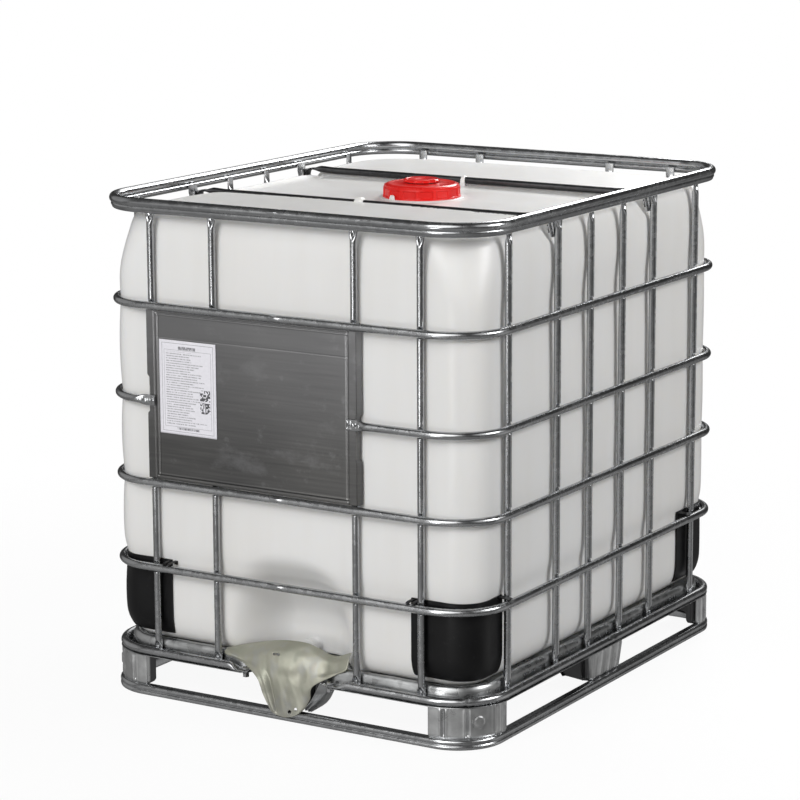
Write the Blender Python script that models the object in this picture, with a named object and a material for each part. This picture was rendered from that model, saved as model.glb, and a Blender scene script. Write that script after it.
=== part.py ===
"""Intermediate bulk container: a blow-moulded bottle in a tubular cage on a steel sheet pallet.

The source lengths below are millimetres; every mesh is written in metres. +Z is up, the front
(label plate, outlet and drain spout) faces -Y, and the origin is on the floor under the middle.
"""
import math

import bmesh
import bpy
from mathutils import Matrix, Vector

MM = 0.001
GAP = 0.4            # clearance left between touching pieces

# cage: centre line of the horizontal tubes, half extents and plan corner radius
CAGE_X = 489.0
CAGE_Y = 593.0
CAGE_R = 121.0
RING_R = 9.0
RING_Z = (893.0, 681.0, 495.0, 300.0)
BASE_R = 9.5
BASE_BOLT_X = (120.0, -100.0)
BASE_Z = 104.0
RIM_UPPER_R, RIM_UPPER_Z, RIM_UPPER_OUT = 11.0, 1119.0, 2.0
RIM_LOWER_R, RIM_LOWER_Z = 8.5, 1105.5

# uprights stand this far inside the ring line and are dented where a ring crosses
UPRIGHT_R = 8.0
UPRIGHT_IN = 12.0
END_X = (-344.0, -181.0, 181.0, 344.0)
SIDE_Y = (-445.0, -228.0, -76.6, 76.6, 228.0, 445.0)
TAB_TOP, TAB_BOTTOM = 1110.0, 96.0

# top bars that hold the bottle down
BAR_Y, BAR_Z, BAR_R = 228.0, 1099.0, 8.0
BRACKET_X0, BRACKET_X1 = 462.7, 471.0

# bottle
BOTTLE_X, BOTTLE_Y, WALL = 467.0, 571.0, 4.0
BOTTLE_PROFILE = (  # height, how far the outline is drawn in, corner radius
    (120.8, 50.0, 60.0), (128.0, 34.0, 60.0), (142.0, 18.0, 62.0), (160.0, 9.0, 64.0), (184.0, 5.0, 66.0),
    (318.0, 5.0, 66.0), (334.0, 0.0, 70.0), (950.0, 0.0, 70.0), (1000.0, 2.0, 95.0),
    (1045.0, 12.0, 100.0), (1076.0, 26.0, 108.0), (1095.0, 54.0, 120.0), (1104.0, 100.0, 128.0))
TOP_Z, SADDLE_Z, SADDLE_Y = 1104.0, 1083.0, 240.0
NECK_R, NECK_BORE, NECK_TOP = 82.0, 75.0, 1112.0
OUTLET_Z, OUTLET_R, OUTLET_BORE = 140.0, 14.5, 11.5
ALCOVE_BACK, OUTLET_END = -462.0, -492.0

# pallet
FLANGE_X, FLANGE_Y, FLANGE_R, SHEET = 498.0, 602.0, 130.0, 2.5
DECK_PROFILE = (  # inset from the flange edge, height of the upper face
    (0.0, 94.0), (24.0, 94.0), (28.5, 124.0), (35.0, 132.5), (42.0, 132.5), (56.0, 120.0))
RUNNER_X, RUNNER_Y, RUNNER_R = 486.0, 590.0, 112.0
RUNNER_W, RUNNER_H = 12.0, 24.0
FOOT_TOP, FOOT_WALL = 91.0, 3.0
NOTCH_X0, NOTCH_X1 = -86.0, 106.0

# label plate between the first and third uprights of the front
PLATE_X0, PLATE_X1, PLATE_Z0, PLATE_Z1 = -358.0, 196.0, 505.5, 882.5
PLATE_FRONT, PLATE_BACK = -591.0, -589.5

COLOURS = {
    "zinc": ((0.42, 0.43, 0.44, 1), 1.0, 0.38),
    "plate_zinc": ((0.20, 0.20, 0.21, 1), 1.0, 0.45),
    "passivated_zinc": ((0.42, 0.42, 0.34, 1), 1.0, 0.40),
    "natural_hdpe": ((0.80, 0.80, 0.78, 1), 0.0, 0.35),
    "red_plastic": ((0.62, 0.02, 0.02, 1), 0.0, 0.30),
    "black_plastic": ((0.015, 0.015, 0.015, 1), 0.0, 0.50),
    "rubber": ((0.03, 0.03, 0.03, 1), 0.0, 0.70),
    "bolt_steel": ((0.55, 0.55, 0.56, 1), 1.0, 0.30),
    "paper": ((0.85, 0.85, 0.85, 1), 0.0, 0.80),
}


def material(node, kind):
    """Each piece has a material of its own, named after the piece."""
    colour, metallic, roughness = COLOURS[kind]
    mat = bpy.data.materials.new(node + "_" + kind)
    mat.use_nodes = True
    bsdf = mat.node_tree.nodes["Principled BSDF"]
    bsdf.inputs["Base Color"].default_value = colour
    bsdf.inputs["Metallic"].default_value = metallic
    bsdf.inputs["Roughness"].default_value = roughness
    return mat


def solid(name, bm, kind=None, smooth=False):
    """Turns a bmesh in millimetres into a named object."""
    bmesh.ops.remove_doubles(bm, verts=bm.verts, dist=0.01)
    bmesh.ops.recalc_face_normals(bm, faces=bm.faces)
    bmesh.ops.scale(bm, vec=(MM, MM, MM), verts=bm.verts)
    mesh = bpy.data.meshes.new(name)
    bm.to_mesh(mesh)
    bm.free()
    obj = bpy.data.objects.new(name, mesh)
    bpy.context.scene.collection.objects.link(obj)
    if kind:
        finish(obj, kind, smooth)
    return obj


def finish(obj, kind, smooth=False):
    obj.data.materials.clear()
    obj.data.materials.append(material(obj.name, kind))
    if smooth:
        obj.data.shade_smooth()
        obj.data.set_sharp_from_angle(angle=math.radians(40))


def loft(bm, loops, closed=False):
    """Skins a list of equal-length point loops; an open loft is capped at both ends."""
    rings = [[bm.verts.new(p) for p in loop] for loop in loops]
    count = len(rings[0])
    pairs = list(zip(rings, rings[1:]))
    if closed:
        pairs.append((rings[-1], rings[0]))
    for a, b in pairs:
        for i in range(count):
            j = (i + 1) % count
            bm.faces.new((a[i], a[j], b[j], b[i]))
    if not closed:
        bm.faces.new(rings[0][::-1])
        bm.faces.new(rings[-1])


def box(bm, low, high):
    made = bmesh.ops.create_cube(bm, size=1.0)["verts"]
    size = [h - l for l, h in zip(low, high)]
    centre = [(l + h) / 2 for l, h in zip(low, high)]
    bmesh.ops.scale(bm, vec=size, verts=made)
    bmesh.ops.translate(bm, vec=centre, verts=made)


def rounded_rect(half_x, half_y, radius, z, steps=5):
    """Counter-clockwise outline of a rounded rectangle."""
    points = []
    for quarter, (sx, sy) in enumerate(((1, 1), (-1, 1), (-1, -1), (1, -1))):
        for i in range(steps + 1):
            angle = math.radians(90 * quarter + 90 * i / steps)
            points.append(Vector((sx * (half_x - radius) + radius * math.cos(angle),
                                  sy * (half_y - radius) + radius * math.sin(angle), z)))
    return points


def oval(half_u, half_v, u0=0.0, v0=0.0, sides=8):
    step = 2 * math.pi / sides
    return [(u0 + half_u * math.cos(step * (i + 0.5)), v0 + half_v * math.sin(step * (i + 0.5)))
            for i in range(sides)]


def sweep(bm, path, outlines, up, closed=False):
    """Carries a flat outline along a path. u points to the right of travel, v towards up."""
    loops = []
    count = len(path)
    for i, point in enumerate(path):
        before = path[i - 1] if closed or i else path[0]
        after = path[(i + 1) % count] if closed or i < count - 1 else path[-1]
        tangent = (after - before).normalized()
        side = tangent.cross(up).normalized()
        rise = side.cross(tangent)
        loops.append([point + side * u + rise * v for u, v in outlines[i]])
    loft(bm, loops, closed)


def lathe(bm, profile, origin=(0, 0, 0), axis="Z", sides=24):
    """Turns (radius, height) pairs round an axis; the profile is a closed outline."""
    turn = {"Z": Matrix.Identity(4), "-Y": Matrix.Rotation(math.radians(90), 4, "X"),
            "X": Matrix.Rotation(math.radians(90), 4, "Y")}[axis]
    place = Matrix.Translation(origin) @ turn
    loops = []
    for k in range(sides):
        angle = 2 * math.pi * k / sides
        loops.append([place @ Vector((r * math.cos(angle), r * math.sin(angle), h))
                      for r, h in profile])
    loft(bm, loops, closed=True)


def cylinder(bm, radius, low, high, origin=(0, 0, 0), axis="Z", sides=24):
    turn = {"Z": Matrix.Identity(4), "-Y": Matrix.Rotation(math.radians(90), 4, "X"),
            "X": Matrix.Rotation(math.radians(90), 4, "Y")}[axis]
    place = Matrix.Translation(origin) @ turn
    loops = [[place @ Vector((radius * math.cos(2 * math.pi * k / sides),
                              radius * math.sin(2 * math.pi * k / sides), h))
              for k in range(sides)] for h in (low, high)]
    loft(bm, loops)


def boolean(obj, cutter, operation):
    """Applies one exact Boolean and removes the cutter."""
    mod = obj.modifiers.new("cut", "BOOLEAN")
    mod.operation = operation
    mod.solver = "EXACT"
    mod.object = cutter
    result = bpy.data.meshes.new_from_object(obj.evaluated_get(bpy.context.evaluated_depsgraph_get()))
    obj.modifiers.clear()
    old = obj.data
    obj.data = result
    bpy.data.meshes.remove(old)
    bpy.data.objects.remove(cutter, do_unlink=True)


def set_origin(obj, point):
    """Puts the object's origin at a point in millimetres without moving its shape."""
    place = Vector(point) * MM
    obj.data.transform(Matrix.Translation(-place))
    obj.location = place


def cylinder_cutter(radius, low, high, origin, axis="Z", sides=12):
    bm = bmesh.new()
    cylinder(bm, radius, low, high, origin, axis, sides)
    return solid("cutter", bm)


# ---------------------------------------------------------------- cage

def closed_ring(name, outline, half_x=CAGE_X, half_y=CAGE_Y, radius=CAGE_R, z=0.0, kind="zinc"):
    bm = bmesh.new()
    path = rounded_rect(half_x, half_y, radius, z)
    sweep(bm, path, [outline] * len(path), Vector((0, 0, 1)), closed=True)
    return solid(name, bm, kind, smooth=True)


def open_ring(name, start_x, end_x, z, outline, ends, kind="zinc"):
    """A ring that starts on the front at start_x, runs round the back and ends at end_x.

    ends is a list of (distance from the end, outline, height change).
    """
    core = rounded_rect(CAGE_X, CAGE_Y, CAGE_R, z)
    steps = len(core) // 4
    core = core[3 * steps:] + core[:3 * steps]
    path, outlines = [], []
    for along, shape, lift in ends:
        path.append(Vector((start_x + along, -CAGE_Y, z + lift)))
        outlines.append(shape)
    path += core
    outlines += [outline] * len(core)
    for along, shape, lift in reversed(ends):
        path.append(Vector((end_x - along, -CAGE_Y, z + lift)))
        outlines.append(shape)
    bm = bmesh.new()
    sweep(bm, path, outlines, Vector((0, 0, 1)))
    return solid(name, bm, kind, smooth=True)


def upright(name, foot, outward, crossings, bracket=False):
    """A vertical tube, flattened into a tab at both ends and dented where rings cross.

    With bracket set, a gusset for the end of a top bar is welded to its inner face.
    """
    full = oval(UPRIGHT_R, UPRIGHT_R)
    dented = [(u, min(v, UPRIGHT_IN - RING_R - GAP)) for u, v in full]
    low_tab = oval(10.0, 2.0, 0.0, 0.2)
    top_tab = oval(11.0, 2.0, 0.0, 1.0)
    stations = [(TAB_BOTTOM, low_tab), (114.0, low_tab), (128.0, full)]
    for z in sorted(crossings):
        stations += [(z - 15, full), (z - 9.5, dented), (z + 9.5, dented), (z + 15, full)]
    stations += [(1080.0, full), (1095.0, top_tab), (TAB_TOP, top_tab)]
    path = [Vector((foot[0], foot[1], z)) for z, _ in stations]
    bm = bmesh.new()
    sweep(bm, path, [shape for _, shape in stations], Vector(outward))
    post = solid(name, bm)
    if bracket:
        near, far = outward[0] * BRACKET_X0, outward[0] * BRACKET_X1
        outline = [(-21, 1095), (21, 1095), (21, 1088), (8, 1056), (-8, 1056), (-21, 1088)]
        bm = bmesh.new()
        loft(bm, [[Vector((x, foot[1] + dy, z)) for dy, z in outline] for x in (near, far)])
        boolean(post, solid("gusset", bm), "UNION")
        low, high = sorted((near - outward[0] * 5, far - outward[0] * 3))
        boolean(post, cylinder_cutter(3.8, low, high, (0, foot[1], BAR_Z - 22), "X"), "DIFFERENCE")
    finish(post, "zinc", smooth=True)


def build_cage():
    rim = [(RIM_UPPER_OUT + RIM_UPPER_R * math.cos(math.radians(a)),
            RIM_UPPER_Z + RIM_UPPER_R * math.sin(math.radians(a))) for a in range(-36, 217, 36)]
    rim += [(RIM_LOWER_R * math.cos(math.radians(a)),
             RIM_LOWER_Z + RIM_LOWER_R * math.sin(math.radians(a))) for a in (190, 240, 300, 350)]
    closed_ring("top_rim", rim)
    tube = oval(RING_R, RING_R)
    for number in (1, 3, 4):
        closed_ring("cage_ring_%d" % number, tube, z=RING_Z[number - 1])
    pinched = oval(1.8, 12.0)
    open_ring("cage_ring_2", 168.0, -331.0, RING_Z[1], tube,
              [(0, pinched, 0), (31, pinched, 0), (47, tube, 0)])
    base = oval(BASE_R, BASE_R)
    flat = oval(12.0, 2.5)
    drop = 97.2 - BASE_Z
    base_ring = open_ring("base_ring", 110.0, -90.0, BASE_Z, base,
                          [(0, flat, drop), (28, flat, drop), (52, base, 0)])
    for x in BASE_BOLT_X:
        boolean(base_ring, cylinder_cutter(4.3, 80, 120, (x, -CAGE_Y, 0)), "DIFFERENCE")
    finish(base_ring, "zinc", smooth=True)

    front_y, side_x = CAGE_Y - UPRIGHT_IN, CAGE_X - UPRIGHT_IN
    for i, x in enumerate(END_X):
        crossed = RING_Z if i == 3 else (RING_Z[0], RING_Z[2], RING_Z[3])
        upright("front_upright_%d" % (i + 1), (x, -front_y), (0, -1, 0), crossed)
        upright("rear_upright_%d" % (i + 1), (x, front_y), (0, 1, 0), RING_Z)
    for i, y in enumerate(SIDE_Y):
        bracket = abs(y) == BAR_Y
        upright("left_upright_%d" % (i + 1), (-side_x, y), (-1, 0, 0), RING_Z, bracket)
        upright("right_upright_%d" % (i + 1), (side_x, y), (1, 0, 0), RING_Z, bracket)


def build_top_bars():
    """Two tubes over the bottle, each end flattened, turned down and bolted to a gusset."""
    tube, tab = oval(BAR_R, BAR_R), oval(2.4, 12.0)
    for name, y in (("front", -BAR_Y), ("rear", BAR_Y)):
        half = [((425, BAR_Z), tube), ((442, BAR_Z), tab), ((453, BAR_Z - 4), tab),
                ((458.5, BAR_Z - 13), tab), ((459.5, BAR_Z - 32), tab)]
        path = [Vector((-x, y, z)) for (x, z), _ in reversed(half)]
        path += [Vector((x, y, z)) for (x, z), _ in half]
        shapes = [shape for _, shape in reversed(half)] + [shape for _, shape in half]
        bm = bmesh.new()
        sweep(bm, path, shapes, Vector((0, 1, 0)))
        bar = solid("top_bar_" + name, bm)
        boolean(bar, cylinder_cutter(3.8, -500, 500, (0, y, BAR_Z - 22), "X"), "DIFFERENCE")
        finish(bar, "zinc", smooth=True)
        for side, sx in (("left", -1), ("right", 1)):
            bm = bmesh.new()
            profile = [(0.2, 452.0), (7, 452.0), (7, 456.2), (3.4, 456.2), (3.4, 465.5), (0.2, 465.5)]
            lathe(bm, [(r, sx * x) for r, x in profile], (0, y, BAR_Z - 22), "X", 6)
            solid("bar_bolt_%s_%s" % (name, side), bm, "bolt_steel")


# ---------------------------------------------------------------- bottle and closures

def bottle_block(name, inset):
    """The bottle's shape without necks, drawn in by inset on every face."""
    bm = bmesh.new()
    loops = []
    for z, pull, radius in BOTTLE_PROFILE:
        height = z + inset if z < 150 else z - inset if z > 1020 else z
        draw = pull + inset
        loops.append(rounded_rect(BOTTLE_X - draw, BOTTLE_Y - draw, radius - inset, height, 4))
    loft(bm, loops)
    block = solid(name, bm)

    bm = bmesh.new()
    box(bm, (-600, -SADDLE_Y - inset, SADDLE_Z - inset), (600, SADDLE_Y + inset, 1200))
    boolean(block, solid("cutter", bm), "DIFFERENCE")

    bm = bmesh.new()
    arch = [(-142, 60), (162, 60), (162, 270), (120, 330), (-80, 330), (-142, 270)]
    grow = inset
    loops = []
    for y, taper in ((-700, -8), (ALCOVE_BACK + inset, 30)):
        loops.append([Vector((x - math.copysign(taper, x - 10) + math.copysign(grow, x - 10), y,
                              z - (taper * 0.6 - grow if z > 100 else 0)))
                      for x, z in arch])
    loft(bm, loops)
    boolean(block, solid("cutter", bm), "DIFFERENCE")
    return block


def build_bottle():
    outer = bottle_block("bottle", 0.0)
    inner = bottle_block("bottle_inside", WALL)
    boolean(outer, cylinder_cutter(NECK_R, SADDLE_Z - 2, NECK_TOP, (0, 0, 0), "Z", 24), "UNION")
    boolean(inner, cylinder_cutter(NECK_BORE, SADDLE_Z - 10, NECK_TOP + 10, (0, 0, 0), "Z", 24), "UNION")
    stub = (0, ALCOVE_BACK, OUTLET_Z)
    length = ALCOVE_BACK - OUTLET_END
    boolean(outer, cylinder_cutter(OUTLET_R, -2, length, stub, "-Y", 24), "UNION")
    boolean(inner, cylinder_cutter(OUTLET_BORE, -10, length + 10, stub, "-Y", 24), "UNION")
    boolean(outer, inner, "DIFFERENCE")
    finish(outer, "natural_hdpe", smooth=True)


def build_closures():
    bm = bmesh.new()
    lathe(bm, [(29.5, 1115.2), (86.0, 1115.2), (86.0, 1087.0), (89.5, 1087.0), (89.5, 1108.0),
               (85.0, 1115.0), (74.0, 1119.0), (29.5, 1119.0)])
    solid("fill_cap", bm, "red_plastic", smooth=True)
    bm = bmesh.new()
    lathe(bm, [(76.0, 1112.3), (81.5, 1112.3), (81.5, 1114.9), (76.0, 1114.9)])
    solid("fill_cap_gasket", bm, "rubber")
    bm = bmesh.new()
    lathe(bm, [(31.0, 1119.3), (38.0, 1119.3), (38.0, 1120.7), (31.0, 1120.7)])
    solid("vent_plug_gasket", bm, "rubber")
    bm = bmesh.new()
    head = []
    for z, radius in ((1121.0, 42.0), (1126.0, 41.5), (1128.0, 38.5)):
        head.append([Vector((radius * (1 - 0.04 * (k % 2)) * math.cos(math.radians(15 * k)),
                             radius * (1 - 0.04 * (k % 2)) * math.sin(math.radians(15 * k)), z))
                     for k in range(24)])
    stem = [[Vector((28.9 * math.cos(math.radians(15 * k)), 28.9 * math.sin(math.radians(15 * k)), z))
             for k in range(24)] for z in (1108.0, 1121.0)]
    loft(bm, stem + head)
    solid("vent_plug", bm, "red_plastic", smooth=True)

    front = OUTLET_END
    bm = bmesh.new()
    lathe(bm, [(12.0, 0.3), (14.2, 0.3), (14.2, 2.3), (12.0, 2.3)], (0, front, OUTLET_Z), "-Y")
    set_origin(solid("outlet_gasket", bm, "rubber"), (0, front, OUTLET_Z))
    bm = bmesh.new()
    lathe(bm, [(0.3, 2.7), (15.3, 2.7), (15.3, -16.0), (18.0, -16.0), (18.0, 4.5), (16.5, 6.0),
               (0.3, 6.0)], (0, front, OUTLET_Z), "-Y")
    set_origin(solid("outlet_cap", bm, "natural_hdpe", smooth=True), (0, front, OUTLET_Z))


# ---------------------------------------------------------------- guards and label

def build_guards():
    """Plastic shells between the lower bottle corners and the cage."""
    for name, sx, sy, leg_x, leg_y in (("front_left", -1, -1, 312, 449), ("front_right", 1, -1, 312, 449),
                                       ("rear_left", -1, 1, 312, 396), ("rear_right", 1, 1, 312, 396)):
        loops = []
        for z, trim, low in ((142, 16, 12.5), (160, 3, 3.7), (184, 0, 0), (316, 0, 0)):
            row = []
            for side in (0, 1):
                offset = (-4.0, -0.5)[side] - low
                centre_x, centre_y, radius = BOTTLE_X - 71.0, BOTTLE_Y - 71.0, 71.0 + offset
                arc = [(leg_x + trim, BOTTLE_Y + offset)]
                for i in range(5):
                    angle = math.radians(90 - 22.5 * i)
                    arc.append((centre_x + radius * math.cos(angle), centre_y + radius * math.sin(angle)))
                arc.append((BOTTLE_X + offset, leg_y + trim))
                row += arc if side == 0 else arc[::-1]
            loops.append([Vector((sx * x, sy * y, z)) for x, y in row])
        bm = bmesh.new()
        loft(bm, loops)
        solid("corner_guard_" + name, bm, "black_plastic", smooth=True)


def build_label():
    bm = bmesh.new()
    turn = 16.0
    outline = [(PLATE_X0, PLATE_FRONT), (PLATE_X1, PLATE_FRONT), (PLATE_X1, PLATE_FRONT + turn),
               (PLATE_X1 - 1.5, PLATE_FRONT + turn), (PLATE_X1 - 1.5, PLATE_BACK),
               (PLATE_X0 + 1.5, PLATE_BACK), (PLATE_X0 + 1.5, PLATE_FRONT + turn),
               (PLATE_X0, PLATE_FRONT + turn)]
    loft(bm, [[Vector((x, y, z)) for x, y in outline] for z in (PLATE_Z0, PLATE_Z1)])
    solid("label_plate", bm, "plate_zinc")
    bm = bmesh.new()
    box(bm, (-319, -591.9, 611), (-168, -591.3, 821))
    solid("paper_label", bm, "paper")


# ---------------------------------------------------------------- pallet

def build_deck():
    """Pressed pan: a flat flange under the base ring, a raised shoulder and a floor."""
    upper = [rounded_rect(FLANGE_X - i, FLANGE_Y - i, FLANGE_R - i, z) for i, z in DECK_PROFILE]
    lower = []
    for inset, z in DECK_PROFILE:
        shift = SHEET if 20 < inset < 40 else 0.0
        lower.append(rounded_rect(FLANGE_X - inset - shift, FLANGE_Y - inset - shift,
                                  FLANGE_R - inset - shift, z - SHEET))
    bm = bmesh.new()
    loft(bm, upper[::-1] + lower)
    deck = solid("pallet_deck", bm)
    bm = bmesh.new()
    box(bm, (NOTCH_X0, -700, 60), (NOTCH_X1, -563.5, 200))
    boolean(deck, solid("cutter", bm), "DIFFERENCE")
    for x in BASE_BOLT_X:
        boolean(deck, cylinder_cutter(4.3, 80, 120, (x, -CAGE_Y, 0)), "DIFFERENCE")
    finish(deck, "zinc")


def build_spout():
    """Sheet chute in the pan's front notch: a hump at the back, a valley and a tip on the runner."""
    rows = (  # y, half width, height of the middle, height of the edges, x of the middle
        (-556.0, 84.0, 160.0, 140.0, 10.0), (-566.0, 84.0, 150.0, 137.0, 10.0),
        (-577.0, 84.0, 122.0, 120.0, 10.0), (-586.0, 80.0, 100.0, 108.0, 10.0),
        (-594.0, 62.0, 66.0, 84.0, 10.0), (-597.0, 40.0, 36.0, 46.0, 10.0),
        (-597.5, 26.0, 25.0, 27.0, 10.0))
    loops = []
    across = (-1.0, -0.6, -0.2, 0.2, 0.6, 1.0)
    for y, half, mid, edge, centre in rows:
        top = [Vector((centre + half * t, y, mid + (edge - mid) * t * t)) for t in across]
        steep = Vector((0, 2.2, -0.6)) if y < -570 else Vector((0, 0.8, -2.2))
        under = [p + steep for p in top]
        loops.append(top + under[::-1])
    bm = bmesh.new()
    loft(bm, loops)
    solid("drain_spout", bm, "passivated_zinc", smooth=True)


def cup(name, outline_low, outline_top):
    """An open-topped sheet cup between two outlines, standing on the runner."""
    low, top = RUNNER_H + GAP, FOOT_TOP

    def drawn_in(outline):
        mid_x = sum(x for x, _ in outline) / len(outline)
        mid_y = sum(y for _, y in outline) / len(outline)
        keep = 1 - FOOT_WALL / 60.0
        return [(mid_x + (x - mid_x) * keep, mid_y + (y - mid_y) * keep) for x, y in outline]

    skins = ((outline_low, low), (outline_top, top),
             (drawn_in(outline_top), top), (drawn_in(outline_low), low + FOOT_WALL))
    bm = bmesh.new()
    loft(bm, [[Vector((x, y, z)) for x, y in outline] for outline, z in skins])
    solid(name, bm, "zinc", smooth=True)


def corner_outline(sx, sy, spread):
    """Plan of a corner foot: the flange's rounded corner outside, a cut-off square inside."""
    radius = 118.0
    points = [(368.0 - spread, 598.0)]
    for i in range(6):
        angle = math.radians(90 - 18 * i)
        points.append((494.0 - radius + radius * math.cos(angle),
                       598.0 - radius + radius * math.sin(angle)))
    points += [(494.0, 472.0 - spread), (440.0, 472.0 - spread), (368.0 - spread, 540.0)]
    return [(sx * x, sy * y) for x, y in points]


def side_outline(turn, reach, half, depth):
    """Plan of a mid-side foot, drawn facing +X and turned to its side in quarter turns."""
    points = [(reach - depth, -half * 0.55), (reach - 26, -half), (reach - 6, -half + 8),
              (reach, -half + 22), (reach, half - 22), (reach - 6, half - 8),
              (reach - 26, half), (reach - depth, half * 0.55)]
    for _ in range(turn):
        points = [(-y, x) for x, y in points]
    return points


def build_feet():
    for name, sx, sy in (("front_left", -1, -1), ("front_right", 1, -1),
                         ("rear_left", -1, 1), ("rear_right", 1, 1)):
        cup("corner_foot_" + name, corner_outline(sx, sy, 12.0), corner_outline(sx, sy, 0.0))
    for name, turn, reach, half_low in (("right", 0, 494.0, 74.0), ("rear", 1, 598.0, 74.0),
                                        ("left", 2, 494.0, 74.0), ("front", 3, 578.0, 40.0)):
        cup("mid_foot_" + name, side_outline(turn, reach, half_low, 54.0),
            side_outline(turn, reach, 86.0, 88.0))


def build_pallet():
    build_deck()
    build_spout()
    build_feet()
    section = [(-12, 4), (-8, 0), (8, 0), (12, 4), (12, 20), (7, 24), (-7, 24), (-12, 20)]
    closed_ring("runner_ring", section, RUNNER_X, RUNNER_Y, RUNNER_R)
    for side, x in zip(("right", "left"), BASE_BOLT_X):
        bm = bmesh.new()
        lathe(bm, [(0.2, 84), (7.5, 84), (7.5, 91), (3.8, 91), (3.8, 100.2), (8, 100.2),
                   (8, 105), (0.2, 105)], (x, -CAGE_Y, 0), "Z", 6)
        solid("base_bolt_" + side, bm, "bolt_steel")


for leftover in list(bpy.data.objects):
    bpy.data.objects.remove(leftover, do_unlink=True)
build_cage()
build_top_bars()
build_bottle()
build_closures()
build_guards()
build_label()
build_pallet()
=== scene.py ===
"""Intermediate bulk container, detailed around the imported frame.

Lengths in this script are millimetres until piece() writes a mesh, which is in metres.
+Z is up and the front (label plate, outlet, drain spout) faces -Y.
"""
import math

import bmesh
import bpy
import numpy as np
from mathutils import Matrix, Vector


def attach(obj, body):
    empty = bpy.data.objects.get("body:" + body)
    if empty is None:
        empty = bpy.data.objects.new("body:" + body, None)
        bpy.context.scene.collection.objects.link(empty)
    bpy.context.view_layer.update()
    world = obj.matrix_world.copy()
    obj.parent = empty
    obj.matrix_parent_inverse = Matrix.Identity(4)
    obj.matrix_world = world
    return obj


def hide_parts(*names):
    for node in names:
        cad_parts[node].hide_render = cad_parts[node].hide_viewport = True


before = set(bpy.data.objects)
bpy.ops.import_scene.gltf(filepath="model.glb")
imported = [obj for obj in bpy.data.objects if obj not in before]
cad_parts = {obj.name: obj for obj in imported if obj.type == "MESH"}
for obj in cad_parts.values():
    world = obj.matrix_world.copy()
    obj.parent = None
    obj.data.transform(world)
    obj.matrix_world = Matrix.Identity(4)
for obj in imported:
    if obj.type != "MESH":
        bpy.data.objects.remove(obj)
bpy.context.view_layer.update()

MM = 0.001
CAGE_X, CAGE_Y, CAGE_R = 489.0, 593.0, 121.0    # centre line of the rings, and their corner radius
RING_Z = (893.0, 681.0, 495.0, 300.0)
RIM_Z = 1105.5
BASE_Z = 104.0
RING_R = 9.0
JOINT_X = -2.0                                  # where the rings' and the rim's ends meet
BAR_Y, BAR_Z, BAR_R = 228.0, 1096.4, 8.0
END_X = (-344.0, -181.0, 181.0, 344.0)
SIDE_Y = (-445.0, -BAR_Y, -76.6, 76.6, BAR_Y, 445.0)
UPRIGHT_IN = 12.0                               # uprights stand this far inside the rings
BOTTLE_X, BOTTLE_Y, BOTTLE_TOP = 467.0, 571.0, 1104.0
OUTLET_Z = 140.0
PLATE_Y = -590.2
FOOT_X, FOOT_Y, FOOT_R = 375.0, 479.0, 118.0    # centre and radius of a corner foot's arc
RUNNER_X, RUNNER_Y, RUNNER_R = 482.0, 590.5, 100.0
FRONT_LIMIT = -605.7


# ---------------------------------------------------------------- shapes

def ease(t):
    t = np.clip(t, 0.0, 1.0)
    return t * t * (3 - 2 * t)


def hill(x, at, width):
    return np.exp(-((x - at) / width) ** 2)


def unit(v):
    return v / np.maximum(np.linalg.norm(v, axis=-1, keepdims=True), 1e-9)


def ripple(p, size, seed=0.0):
    """Smooth, repeatable unevenness between -1 and 1 from a few crossed waves."""
    q = np.asarray(p, float) / size
    x, y, z = q[..., 0] + seed, q[..., 1] + 1.7 * seed, q[..., 2] - 0.6 * seed
    return (np.sin(1.9 * x + 1.3 * y) + np.sin(2.3 * y - 1.1 * z + 1)
            + np.sin(1.7 * z + 0.9 * x + 2.0) + np.sin(3.1 * x - 2.2 * y + 1.9 * z)) / 4


def rounded(half_x, half_y, radius, straight_x=12, straight_y=12, corner=12):
    """Outline of a rounded rectangle, anticlockwise from the middle of the front side."""
    turn = np.linspace(-90, 0, corner + 1)[1:]
    points = [np.column_stack([np.linspace(0, half_x - radius, straight_x + 1),
                               np.full(straight_x + 1, -half_y)])]
    for k, (sx, sy) in enumerate(((1, -1), (1, 1), (-1, 1), (-1, -1))):
        a = np.radians(turn + 90 * k)
        points.append(np.column_stack([sx * (half_x - radius) + radius * np.cos(a),
                                       sy * (half_y - radius) + radius * np.sin(a)]))
        last = points[-1][-1]
        nxt = ((half_x, half_y - radius), (-half_x + radius, half_y), (-half_x, -half_y + radius),
               (0.0, -half_y))[k]
        count = (2 * straight_y, 2 * straight_x, 2 * straight_y, straight_x)[k]
        points.append(np.linspace(last, nxt, count + 1)[1:])
    return np.vstack(points)[:-1]


def circle(sides):
    return 2 * math.pi * np.arange(sides) / sides


def oval(half_u, half_v, sides):
    a = circle(sides) + math.pi / sides
    return np.column_stack([half_u * np.cos(a), half_v * np.sin(a)])


def blob(circles, centre, sides):
    """Outline of several overlapping circles (u, v, radius), seen from a point inside them."""
    a = circle(sides)
    ray = np.column_stack([np.cos(a), np.sin(a)])
    reach = np.zeros(sides)
    for u, v, r in circles:
        to = np.array([u, v]) - centre
        along = ray @ to
        inside = r * r - to @ to + along ** 2
        reach = np.maximum(reach, np.where(inside > 0, along + np.sqrt(np.maximum(inside, 0)), 0))
    reach = (np.roll(reach, 1) + 2 * reach + np.roll(reach, -1)) / 4
    return np.asarray(centre) + ray * reach[:, None]


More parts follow.
